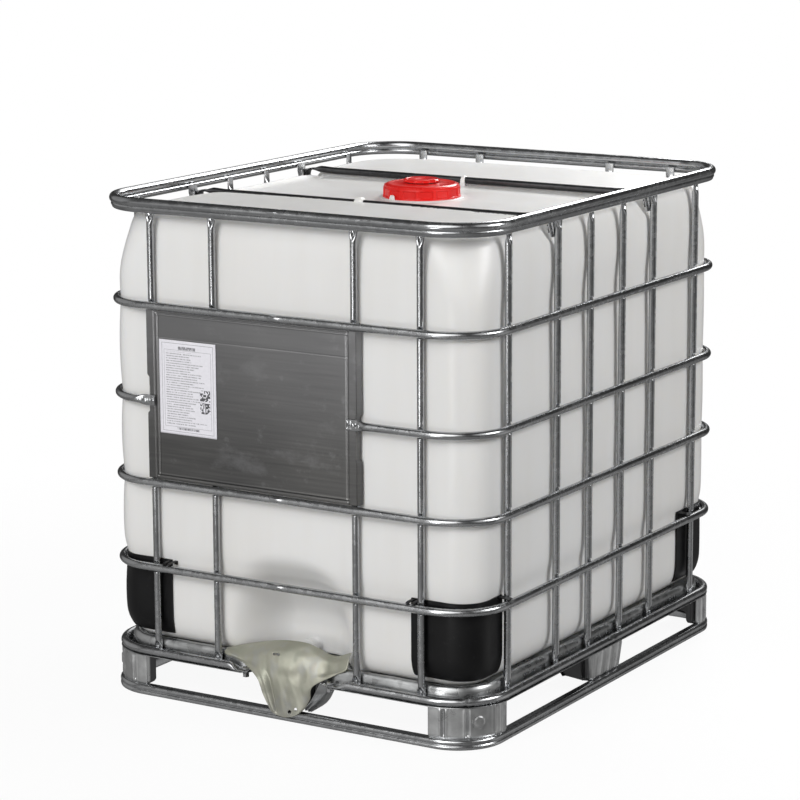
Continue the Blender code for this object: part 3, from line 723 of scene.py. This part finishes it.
def bottle_skin():
    """One skin from the middle of the floor, up the walls, over the shoulders to the neck."""
    stations = [(121.0, d, 60.0, 0.0) for d in (430, 360, 280, 200, 130, 84, 62)]
    stations += [(z, pull, radius, ease((z - 1084) / 20)) for z, pull, radius in bottle_outline()]
    stations += [(BOTTLE_TOP, d, 130.0, 1.0) for d in np.linspace(106, 455, 60)]
    rows = []
    for z, inset, radius, blend in stations:
        hx = BOTTLE_X - inset
        hy = BOTTLE_Y - inset - 104 * max(0, (inset - 106) / 349) * (blend == 1)
        corner = max(min(radius, 60 + hx * 0.25), 1.0) if hx > 60 else hx - 1
        flat = rounded(hx, hy, corner, 60, 70, 26)
        top = bottle_top(flat[:, 0], flat[:, 1])
        rows.append(np.column_stack([flat, z + (top - BOTTLE_TOP) * blend]))
    rows = np.array(rows)
    x, y, z = rows[..., 0].copy(), rows[..., 1].copy(), rows[..., 2].copy()
    nx = ease((np.abs(x) - 400) / 50) * np.sign(x)
    ny = ease((np.abs(y) - 500) / 50) * np.sign(y)
    wall = ease((z - 240) / 60) * ease((1000 - z) / 90)
    side = np.abs(nx) * (1 - np.abs(ny)) * np.cos(np.clip(y / 640, -1, 1) * math.pi / 2)
    face = np.abs(ny) * (1 - np.abs(nx)) * np.cos(np.clip(x / 530, -1, 1) * math.pi / 2)
    band = 0.6 * np.cos(2 * math.pi * (z - 300) / 196) * wall
    shoulder = 2.0 * ease((z - 900) / 120) * ease((1090 - z) / 30)
    rows[..., 0] -= nx * side * (wall * (2.6 + 3.6 * ease((z - 620) / 260)) + band)
    rows[..., 1] -= ny * face * (wall * 1.6 + band + shoulder)

    # where the cross bars turn down: a V-shaped valley with a soft lip on each flank
    away = np.abs(np.abs(y) - BAR_Y)
    mouth = 11 + 0.74 * np.maximum(z - 1034, 0)
    valley = (1 - ease(away / mouth)) * ease((z - 1036) / 46)
    lip = hill(away, mouth + 10, 12) * ease((z - 1030) / 40) * ease((1096 - z) / 20)
    rows[..., 0] -= nx * (27 * valley - 1.4 * lip) * (np.abs(y) < 400)
    under_bar = hill(np.abs(y), BAR_Y, 15) * ease((np.abs(x) - 395) / 50)
    rows[..., 2] -= ease((z - 1070) / 25) * 9.0 * under_bar
    rows = corner_swell(rows)

    # outlet alcove: an arch-topped hollow that fades out upwards and to the right
    arch_z = 372 - 70 * np.abs((x - 4) / 165) ** 2.4
    left, right = ease((x + 168) / 118), ease((192 - x) / 140)
    roof = ease((arch_z - z) / 165)
    rows[..., 1] += left * right * roof * (y < -480) * 104.0
    heel = np.interp(z, (121, 126, 132, 142, 152, 164, 184), (36, 27, 18.5, 10.5, 5.8, 2.6, 0))
    rows[..., 1] -= heel * left * ease((192 - x) / 40) * (y < -430) * (z > 121.5)
    uneven = 0.35 * (ripple(rows, 110.0, 2.0) * wall)[..., None]
    return rows + uneven * np.stack([nx, ny, 0 * nx], -1)


def build_bottle():
    parts = [skin(bottle_skin())]
    neck = [(97, 1082), (97, 1086.4), (95.5, 1087.2), (84, 1087.6), (82, 1089), (82, 1094)]
    for z0 in (1094, 1099, 1104):
        neck += [(82, z0 + 1), (84.2, z0 + 2.4), (84.2, z0 + 3.2), (82, z0 + 4.6)]
    neck += [(82, 1111.5), (81, 1112), (76, 1112), (75, 1111), (75, 1076)]
    parts.append(skin(turned(neck, 96, on_top), caps=None))
    stub = [(20, -3), (17, 1), (14.8, 3), (14.3, 6), (14.3, 12), (15, 14), (15, 15.4), (14.3, 17),
            (14.3, 20), (15, 22), (15, 23.4), (14.3, 25), (14.3, 29.6), (13.6, 30), (12, 30),
            (11.5, 29.4), (11.5, -3)]
    parts.append(skin(turned(stub, 48, at_outlet(-462.0)), caps=None))
    stop = math.radians(-105)
    parts.append(lug(93.5 * math.cos(stop), 93.5 * math.sin(stop), 7.0, 3.4, 1084, 1098,
                     stop + math.pi / 2))
    parts.append(lug(-24, -BAR_Y, 14, 12, 1080, 1109.4))
    parts.append(lug(-20, BAR_Y, 6.5, 12, 1080, 1106.5))
    piece("bottle_shell", parts, BOTTLE, "bottle", sharp=60)


# ---------------------------------------------------------------- closures

def build_caps():
    def panels(a):
        pitch = math.radians(360 / 14)
        phase = (a - math.radians(-65.1) + pitch / 2) % pitch - pitch / 2
        return 2.3 * ease((np.abs(phase) - math.radians(2.6)) / math.radians(0.8))

    rows = turned((
        (29.5, 1117.2, 0), (30, 1118.6, 0), (44, 1118.8, 0), (46, 1117.6, 0), (60, 1117.4, 0),
        (72, 1117.6, 0), (74, 1118.6, 0), (77.5, 1118.4, 0), (82, 1116.6, 0), (85.6, 1113.6, 0),
        (87.6, 1110.4, 0), (88.3, 1108.8, 0), (88.4, 1107.4, 0.6), (88.4, 1106.4, 1),
        (88.5, 1092.2, 1), (88.6, 1091.2, 0.6), (89.2, 1090.4, 0), (89.5, 1089.6, 0),
        (89.5, 1087.6, 0), (89.1, 1087, 0), (86.4, 1087, 0), (86, 1087.6, 0), (86, 1115, 0),
        (29.5, 1115, 0)),
        672, on_top, panels)
    piece("cap_shell", [skin(rows, loop_rows=True)], RED, "fill_cap", "fill_cap", 32)

    rows = turned((
        (0.6, 1126.2, 0), (12, 1126.2, 0), (14, 1127.2, 0), (29, 1127.6, 0), (31, 1126.6, 0),
        (34, 1126.6, 0), (35.5, 1127.8, 0), (38.6, 1127.7, 0), (40.6, 1126.6, 0.5),
        (41.8, 1125, 1), (42, 1122, 1), (41.4, 1121, 1), (29.2, 1121, 0), (28.9, 1120.4, 0),
        (28.9, 1108.6, 0), (28.3, 1108, 0), (0.6, 1108, 0)),
        192, on_top, lambda a: 2.4 * (1 - ease((np.cos(8 * a) + 0.35) / 0.5)))
    piece("vent_plug_shell", [skin(rows)], RED, "vent_plug", "vent_plug", 32)

    rows = turned((
        (0.4, 5.2, 0), (6, 5.2, 0), (7, 5.9, 0), (15.6, 6, 0), (17.2, 5.2, 0), (17.9, 3.6, 1),
        (18, -13.6, 1), (18, -15, 0), (17.7, -16, 0), (15.6, -16, 0), (15.3, -15.6, 0),
        (15.3, 2.7, 0), (0.4, 2.7, 0)),
        144, at_outlet(-492), lambda a: 0.8 * (1 - ease((np.cos(24 * a) - 0.1) / 0.5)))
    piece("outlet_cap_shell", [skin(rows)], WHITE, "outlet_cap", "outlet_cap", 32)


# ---------------------------------------------------------------- guards and label

def build_guards():
    corner_x, corner_y, bend, far_x = 396, 500, 71, 312
    heights = [(142.2, 5, 12.5), (143.4, 3.4, 10.8), (146.5, 2, 8.8), (151, 1.2, 6.8),
               (157, 0.7, 4.7), (165, 0.3, 2.6), (175, 0.1, 0.9), (184, 0, 0.1)]
    heights += [(h, 0, 0) for h in np.linspace(194, 306, 15)]
    heights += [(309, 0, 0), (311, 0, 0.4), (316, 0, 0.4)]
    hook = ((0, 306), (4, 306), (6, 311.8), (23, 312.4), (29, 310.4), (31.5, 309.8), (31.8, 311.6),
            (25, 314), (1, 314.6))
    for name, sx, sy, leg_y in (("front_left", -1, -1, 449), ("front_right", 1, -1, 449),
                                ("rear_left", -1, 1, 396), ("rear_right", 1, 1, 396)):
        loops = []
        for z, trim, low in heights:
            faces = []
            for offset in (-4.0, -0.5):
                out = offset - low
                start = far_x + trim
                line = [(start + t * (corner_x - start), BOTTLE_Y + out)
                        for t in np.linspace(0, 1, 12)[:-1]]
                line += [(corner_x + (bend + out) * math.sin(b),
                          corner_y + (bend + out) * math.cos(b))
                         for b in np.linspace(0, math.pi / 2, 24)]
                line += [(BOTTLE_X + out, corner_y - t * (corner_y - leg_y - trim))
                         for t in np.linspace(0, 1, 10)[1:]]
                faces.append(np.array(line))
            row = np.vstack([faces[0], faces[1][::-1]])
            loops.append(np.column_stack([sx * row[:, 0], sy * row[:, 1], np.full(len(row), z)]))
        parts = [skin(corner_swell(np.array(loops)))]
        near = 314 if sx > 0 else 298
        for x in (near, near + 14):
            parts.append(skin(np.array([[(sx * far, sy * (565 + h), z) for h, z in hook]
                                        for far in (x, x + 8)])))
        parts.append(skin(np.array([[(sx * (461 + h), sy * far, z) for h, z in hook]
                                    for far in (leg_y + 2, leg_y + 20)])))
        piece("guard_" + name, parts, BLACK, "corner_guard_" + name)


def build_label():
    xs = np.unique(np.concatenate([np.linspace(-358, -318, 60), np.linspace(-318, 160, 60),
                                   np.linspace(160, 196, 56)]))
    zs = np.unique(np.concatenate([np.linspace(505.5, 524, 28), np.linspace(524, 866, 60),
                                   np.linspace(818, 832, 22), np.linspace(866, 882.5, 28)]))
    x, z = np.meshgrid(xs, zs)
    y = np.full(x.shape, PLATE_Y)
    for at, way in ((END_X[0], -1), (END_X[2], 1)):
        u = (x - at) * way
        y = np.where(u > 9.5, PLATE_Y + (u - 9.5) * 3.2, y)
        y = y + 1.6 * hill(u, -11.5, 1.6)
    frame_bead = hill(z, 516.5, 1.9) + hill(z, 874.5, 1.9)
    inside = ease((x + 330) / 4) * ease((174 - x) / 4)
    y = y - 0.7 * frame_bead * inside + 1.4 * (hill(z, 512.5, 1.6) + hill(z, 878, 1.6)) * inside
    side_bead = 0.9 * (hill(x, -322.5, 1.5) + hill(x, 166.5, 1.5))
    side_bead = side_bead - 0.7 * (hill(x, -326, 1.5) + hill(x, 170, 1.5))
    y = y + side_bead * ease((z - 514) / 4) * ease((877 - z) / 4)
    y = y + 0.55 * hill(z, 825, 1.3) * inside + 0.25 * ease((z - 825) / 2) * inside
    buckle = 0.7 * ripple(np.stack([x, 0 * x, z], -1), 120.0, 3.0)
    y = y + buckle * inside * ease((z - 520) / 40) * ease((870 - z) / 40)
    gap = ease((z - 652) / 3) * ease((738 - z) / 3)
    hook = ease((z - 640) / 60) * ease((716 - z) / 8)
    shift = np.where(x < -340, (6.5 * gap + 3.0 * hook) * ease((-346 - x) / 10), 0)
    notch = 4.0 * ease((z - 600) / 3) * ease((700 - z) / 3)
    shift = shift - np.where(x > 186, notch * ease((x - 186) / 8), 0)
    rows = np.stack([x + shift, np.clip(y, -591.0, -575.5), z], -1)
    piece("label_sheet", [skin(rows, loop_cols=False)], PLATE, "label_plate",
          sheet=-1.0)

    x, z = np.meshgrid(np.linspace(-319, -168, 40), np.linspace(611, 821, 56))
    curl = 0.15 * ease((x + 190) / 22) * ease((z - 790) / 31)
    rows = np.stack([x, -591.55 - curl, z], -1)
    piece("label_paper", [skin(rows, loop_cols=False)], PAPER, "paper_label", sheet=-0.3)


# ---------------------------------------------------------------- pallet

def net(points, lines, cols):
    """Smooth sheet through a coarse net of points, by cubic curves both ways."""
    def along(p, count):
        p = np.concatenate([2 * p[:1] - p[1:2], p, 2 * p[-1:] - p[-2:-1]])
        t = np.linspace(0, len(p) - 3 - 1e-9, count)
        i, f = t.astype(int), (t % 1)[:, None, None]
        a, b, c, d = p[i], p[i + 1], p[i + 2], p[i + 3]
        return 0.5 * (2 * b + (c - a) * f + (2 * a - 5 * b + 4 * c - d) * f ** 2
                      + (3 * b - a - 3 * c + d) * f ** 3)
    rows = along(np.asarray(points, float), lines)
    return along(rows.transpose(1, 0, 2), cols).transpose(1, 0, 2)


def spout_bowl():
    """Ribbed steel cup under the pan that the right edge of the chute runs into."""
    bowl = net([
        [(92, -590, 98), (108, -580, 96), (114, -562, 94), (108, -546, 98)],
        [(78, -588, 74), (98, -574, 70), (102, -556, 70), (96, -542, 76)],
        [(64, -586, 52), (80, -570, 44), (84, -552, 44), (78, -540, 50)],
        [(50, -592, 33), (58, -578, 25), (56, -562, 25), (48, -548, 31)]], 44, 56)
    rib = np.sin(np.linspace(0, 1, 56)[None, :] * 44.0) * 1.2
    bowl[..., 2] += rib
    bowl[..., 0] += 0.9 * rib
    return skin(bowl, loop_cols=False)


def build_deck():
    profile = ((0.6, 92.6), (0, 93.2), (0.3, 94), (2, 94.2), (9, 94), (18, 94), (22, 94.4),
               (24.6, 96.2), (26, 99.5), (27, 106), (28, 116), (29.4, 122.5), (31.8, 127.6),
               (35, 130.8), (38.5, 131.8), (42, 131), (46, 127.6), (50, 123.4), (54, 120.8),
               (60, 120), (90, 120), (200, 120), (330, 120), (450, 120))
    rows = []
    for inset, z in profile:
        hx, hy = 498 - inset, 602 - inset
        radius = min(max(130 - inset, 40), hx - 2)
        flat = rounded(hx, hy, radius, 70, 74, 30)
        rows.append(np.column_stack([flat, np.full(len(flat), z)]))
    rows = np.array(rows)
    x, y, z = rows[..., 0], rows[..., 1], rows[..., 2]
    lift = ease((z - 97) / 20)
    rows[..., 2] += 0.8 * ripple(rows, 34.0, 5.0) * lift
    notch = (y < -560) * ease((112 - np.abs(x - 8)) / 24)
    rows[..., 1] += notch * np.maximum(0, -562 - y)
    for sx, sy in ((-1, -1), (1, -1), (-1, 1), (1, 1)):
        for px, py in arc_points((374, 478), 112, (22, 45, 68)):
            rows = dent(rows, (sx * px, sy * py, 95), 12, -1.6, (0, 0, -1))
    piece("deck_pan", [skin(rows, caps="end"), spout_bowl()], SHEET,
          "pallet_deck", sheet=-1.6)


def build_spout():
    """Sheet chute: a hump behind the cage, a shallow valley, a tapering throat, a round tip."""
    sheet = net([
        [(-174, -546, 129), (-118, -546, 145), (-62, -546, 159), (-20, -546, 166),
         (30, -546, 167.5), (64, -546, 160), (104, -546, 149), (147, -547, 163)],
        [(-168, -566, 131), (-116, -562, 140), (-62, -560, 153), (-20, -558, 159),
         (22, -558, 160), (60, -561, 148), (108, -562, 140), (150, -562, 153)],
        [(-162, -581, 123), (-108, -579, 126), (-62, -576, 139), (-22, -573, 147),
         (20, -572, 144), (58, -576, 126), (104, -573, 121), (150, -574, 132)],
        [(-116, -582, 111), (-76, -588, 111), (-46, -588, 117), (-16, -587, 125), (15, -586, 121),
         (46, -586, 104), (80, -584, 105), (126, -577, 118)],
        [(-64, -603, 88), (-50, -600, 86), (-32, -595, 89), (-9, -596, 94), (14, -595, 92),
         (37, -593, 78), (56, -592, 78), (74, -590, 87)],
        [(-49, -604, 56), (-38, -601, 54), (-23, -597, 56), (-3, -600, 57), (17, -600, 56),
         (37, -598, 49), (52, -594, 50), (65, -588, 58)],
        [(-34, -604, 30), (-26, -603, 28), (-14, -601, 27), (2, -603, 27), (19, -603, 27),
         (35, -602, 26), (46, -599, 30), (54, -594, 35)],
        [(-27, -604, 19), (-19, -604.4, 15), (-9, -604.4, 12), (2, -604.6, 11), (13, -604.6, 11),
         (27, -604.4, 14.5), (38, -603, 20), (46, -598, 27)]], 140, 110)
    t = np.linspace(0, 1, 140)[:, None]
    u = np.linspace(0, 1, 110)[None, :]
    low = ease((t - 0.44) / 0.12)
    crease = 2.8 * hill(u, 0.25, 0.03) - 1.8 * hill(u, 0.16, 0.045)
    sheet[..., 1] += low * crease * ease((0.97 - t) / 0.1)
    sheet[..., 1] += 4.2 * low * hill(u, 0.52, 0.16) * ease((0.95 - t) / 0.3)
    edge = ease((t - 0.05) / 0.2) * ease((0.5 - t) / 0.15)
    sheet[..., 2] += 2.4 * hill(u, 0.03, 0.03) * edge - 2.2 * hill(u, 0.10, 0.03) * edge
    sheet = dent(sheet, (34, -588, 106), 26, 5, (0, 1, -0.5))
    sheet = dent(sheet, (92, -578, 124), 24, 4, (0.2, 0.3, -1))
    sheet = dent(sheet, (38, -572, 138), 24, -3.5, (0.3, 0.3, -1))
    fade = ease(t / 0.1) * ease((1 - t) / 0.1)
    wrinkle = 0.45 * ripple(sheet, 17.0, 3.0) + 0.2 * ripple(sheet, 7.0, 8.0)
    sheet = sheet + (wrinkle * fade)[..., None] * np.array([0.2, -1.0, 0.5])
    sheet[..., 1] = np.maximum(sheet[..., 1], -604.6)
    points = sheet.reshape(-1, 3)

    def spot(x, z):
        return tuple(points[np.argmin((points[:, 0] - x) ** 2 + (points[:, 2] - z) ** 2)])

    slot = [(spot(x, 141), 2.4) for x in (-35, -32, -29, -26, -23)]
    holes = slot + [(spot(20, 24), 4.2), (spot(35, 32), 3.8)]
    piece("spout_sheet", [skin(sheet, loop_cols=False, holes=holes)], SPOUT,
          "drain_spout", sheet=-1.2)


def foot_wall(name, node, outline, ribs, dimples=(), flare=0.0):
    """A pressed cup on the runner: ribs are distances along its outline that are pushed in."""
    loop = np.asarray(outline, float)
    run = np.r_[0, np.cumsum(np.linalg.norm(np.diff(np.vstack([loop, loop[:1]]), axis=0), axis=1))]
    total = run[-1]
    s = np.arange(0, total, 1.6)
    flat = np.column_stack([np.interp(s, run, np.r_[loop[:, k], loop[0, k]]) for k in (0, 1)])
    for _ in range(3):
        flat = (np.roll(flat, 1, 0) + 2 * flat + np.roll(flat, -1, 0)) / 4
    centre = flat.mean(0)
    tangent = unit(np.roll(flat, -1, 0) - np.roll(flat, 1, 0))
    normal = np.column_stack([tangent[:, 1], -tangent[:, 0]])
    normal = normal * np.sign(((flat - centre) * normal).sum(1).mean())
    rows = []
    away = [(s - r + total / 2) % total - total / 2 for r in ribs]
    groove = sum(hill(d, 0, 3.4) - 0.35 * hill(np.abs(d), 6.5, 2.6) for d in away)
    for z in np.r_[24.3, 24.6, 25.5, 27, 29.5, np.linspace(32, 86, 26), 88.5, 90.2, 91.2, 91.6]:
        edge = ease((z - 25) / 7) * ease((92 - z) / 7)
        push = -3.0 * (1 - ease((z - 24) / 6))
        off = push + flare * (1 - (z - 24) / 68) - 4.4 * groove * edge
        rows.append(np.column_stack([flat + normal * off[:, None], np.full(len(s), z)]))
    rows = np.array(rows)
    for at, size, height in dimples:
        d = np.hypot(*(rows[..., k] - at[k] for k in (0, 1)))
        d = np.sqrt(d ** 2 + (rows[..., 2] - at[2]) ** 2)
        raise_by = height * ease((size - d) / 3.5) - 1.2 * hill(d, size + 1.5, 2.2)
        away = np.array([at[0] - centre[0], at[1] - centre[1], 0.0])
        rows = rows + raise_by[..., None] * unit(away)
    lid = np.array([np.column_stack([centre + (rows[0][:, :2] - centre) * k, np.full(len(s), 24.4)])
                    for k in (0.5, 0.02)])
    rows = np.vstack([lid[::-1], rows])
    piece(name, [skin(rows, caps="start")], FOOT, node, sheet=-1.2)


def build_feet():
    centre = (FOOT_X, FOOT_Y)
    outline = [(368, 597), *arc_points(centre, FOOT_R, [90 - 7.5 * i for i in range(13)]),
               (493, 474), (458, 474), *arc_points(centre, 80, range(0, 91, 15)),
               (370.0, 559.0)]
    ribs = [36, 89, 161, 182, FOOT_R * math.pi / 2 + 27]
    (dimple_x, dimple_y), = arc_points(centre, FOOT_R, (37,))
    for side, sx in (("left", -1), ("right", 1)):
        for end, sy in (("front", -1), ("rear", 1)):
            foot_wall("foot_%s_%s" % (end, side), "corner_foot_%s_%s" % (end, side),
                      [(sx * x, sy * y) for x, y in outline], ribs,
                      [((sx * dimple_x, sy * dimple_y, 61.0), 12.5, 1.6)])
    for turn, (name, reach, half) in enumerate((("right", 493, 84), ("rear", 597, 84),
                                                ("left", 493.0, 84.0), ("front", 576.0, 64.0))):
        profile = ((98, half * 0.80), (30, half), (8, half - 6), (0, half - 20))
        points = [(reach - back, -wide) for back, wide in profile]
        points += [(reach - back, wide) for back, wide in profile[::-1]]
        for _ in range(turn):
            points = [(-b, a) for a, b in points]
        ribs = range(40, 217, 22) if name == "front" else (75, 112, 150, 190, 228)
        foot_wall("foot_mid_" + name, "mid_foot_" + name, points, ribs, flare=-9.0)


def build_runner():
    section = ((-10.5, 5), (-10, 2.4), (-8, 0.6), (-5, 0), (5, 0), (8, 0.6), (10.6, 2.4), (11.4, 5),
               (11.4, 8), (10.6, 9.4), (9.2, 10.3), (8.8, 11.4), (9.2, 12.5), (10.6, 13.4),
               (11.4, 14.8), (11.4, 17.6), (10.4, 20.8), (7.6, 23.2), (4.6, 24), (-4.6, 24),
               (-7.6, 23.2), (-9.8, 20.8), (-10.5, 17.6), (-10.5, 11))
    path = ring_path(0.0, RUNNER_X, RUNNER_Y, RUNNER_R)
    rows, lay = sweep(path, np.array(section, float), closed=True)
    piece("runner_tube", [skin(rows, lay, loop_rows=True)], TUBE, "runner_ring",
          sharp=50)


# ---------------------------------------------------------------- stage, lights, camera

def build_world():
    """White to the camera. It lights with an even low level plus soft round patches."""
    world = bpy.data.worlds.new("studio")
    bpy.context.scene.world = world
    w = Nodes(world)
    coords = w.node("TexCoord").outputs["Generated"]
    level = 0.05
    for way, outer, shade_under_deck, strength in (
            ((0.05, -0.80, 0.50), 0.84, 0.95, 2.1),
            ((0.85, 0.05, 0.45), 0.86, 0.96, 0.7),
            ((-0.22, 0.80, 0.56), 0.960, 0.988, 1.5),
            ((0.75, 0.65, -0.20), 0.90, 0.97, 0.35),
            ((-0.90, -0.10, 0.25), 0.82, 0.94, 0.35),
            ((-0.52, -0.85, 0.03), 0.93, 0.985, 0.24),
            ((0.0, 0.0, -1.0), 0.10, 0.42, 0.15),
            ((-0.10, -0.98, -0.10), 0.10, 0.85, 0.14),
            ((0.0, 0.0, 1.0), 0.30, 0.90, 0.03)):
        dot = w.node("VectorMath", {0: coords, 1: Vector(way).normalized()},
                     operation="DOT_PRODUCT")
        patch = w.node("MapRange", {"Value": dot.outputs["Value"], 1: outer, 2: shade_under_deck, 3: 0.0,
                                    4: strength}, interpolation_type="SMOOTHSTEP")
        level = w.node("Math", {0: patch.outputs[0], 1: level}).outputs[0]
    lit = w.node("Background", {"Strength": level, "Color": (1.0, 0.995, 0.985, 1)})
    seen = w.node("Background", {"Color": (1, 1, 1, 1)})
    mix = w.node("MixShader", {0: w.node("LightPath").outputs["Is Camera Ray"],
                               1: lit.outputs[0], 2: seen.outputs[0]})
    w.finish("World Output", mix.outputs[0])


def build_stage():
    mesh = bpy.data.meshes.new("floor")
    disc = [(6.0 * math.cos(t), 6.0 * math.sin(t), -0.0005) for t in circle(96)]
    mesh.from_pydata(disc, [], [list(range(96))])
    s = Surface("floor_paper", Roughness=0.7, Specular_IOR_Level=0.2)
    s.colour(s.ramp(s.noise(s.place(), 3.0, 3.0), (0.3, 0.86), (0.7, 0.89)))
    radial = s.node("TexGradient", {"Vector": s.place((0.45,) * 3)}, gradient_type="SPHERICAL")
    clear = s.node("BsdfTransparent")
    blend = s.node("MixShader", {0: s.span(radial.outputs["Fac"], 0.0, 0.5, 0.0, 0.07),
                                 1: clear.outputs[0], 2: s.shader.outputs[0]})
    s.finish("Material Output", blend.outputs[0])
    mesh.materials.append(s.mat)
    floor = bpy.data.objects.new("floor", mesh)
    bpy.context.scene.collection.objects.link(floor)


def softbox(name, at, toward, width, height, power):
    data = bpy.data.lights.new(name, "AREA")
    data.shape, data.size, data.size_y = "RECTANGLE", width, height
    data.energy = power
    lamp = bpy.data.objects.new(name, data)
    lamp.location = at
    lamp.rotation_euler = (Vector(toward) - Vector(at)).to_track_quat("-Z", "Y").to_euler()
    bpy.context.scene.collection.objects.link(lamp)


def build_lights():
    softbox("front_high", (-0.2, -3.6, 2.4), (0, -0.5, 0.7), 1.5, 1, 30)
    softbox("right_high", (2.9, 0.3, 2.1), (0.4, 0, 0.8), 1.2, 0.9, 41)
    softbox("rear_high", (-0.1, 2.2, 2.5), (0, 0.3, 1.1), 1.1, 1.1, 52)
    softbox("front_low", (-0.15, -3.3, 0.30), (0, -0.5, 0.25), 0.9, 0.4, 9)


def build_camera():
    data = bpy.data.cameras.new("camera")
    data.lens, data.sensor_width = 132.67, 36.0
    camera = bpy.data.objects.new("camera", data)
    back = Vector((0.50983, -0.83607, 0.20266)).normalized()
    right = Vector((0.85378, 0.52063, 0)).normalized()
    up = back.cross(right)
    roll = math.radians(-0.266)
    right, up = (right * math.cos(roll) + up * math.sin(roll),
                 up * math.cos(roll) - right * math.sin(roll))
    place = Matrix((right, up, back)).transposed().to_4x4()
    place.translation = (3.4431, -5.7460, 1.9971)
    camera.matrix_world = place
    bpy.context.scene.collection.objects.link(camera)
    bpy.context.scene.camera = camera


def dress_cad_nodes():
    """Small CAD nodes whose shape is right keep it, and get a detailed finish."""
    finishes = {"fill_cap_gasket": RUBBER, "vent_plug_gasket": RUBBER, "outlet_gasket": RUBBER}
    for name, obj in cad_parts.items():
        finish = BOLT if "_bolt_" in name else finishes.get(name, TUBE)
        obj.data.materials.clear()
        obj.data.materials.append(finish)


build_camera()
build_world()
build_stage()
build_lights()
dress_cad_nodes()
build_rings()
build_rim()
build_uprights()
build_base_ring()
build_top_bars()
build_bottle()
build_caps()
build_guards()
build_label()
build_deck()
build_spout()
build_feet()
build_runner()

scene = bpy.context.scene
scene.view_settings.view_transform = "Standard"
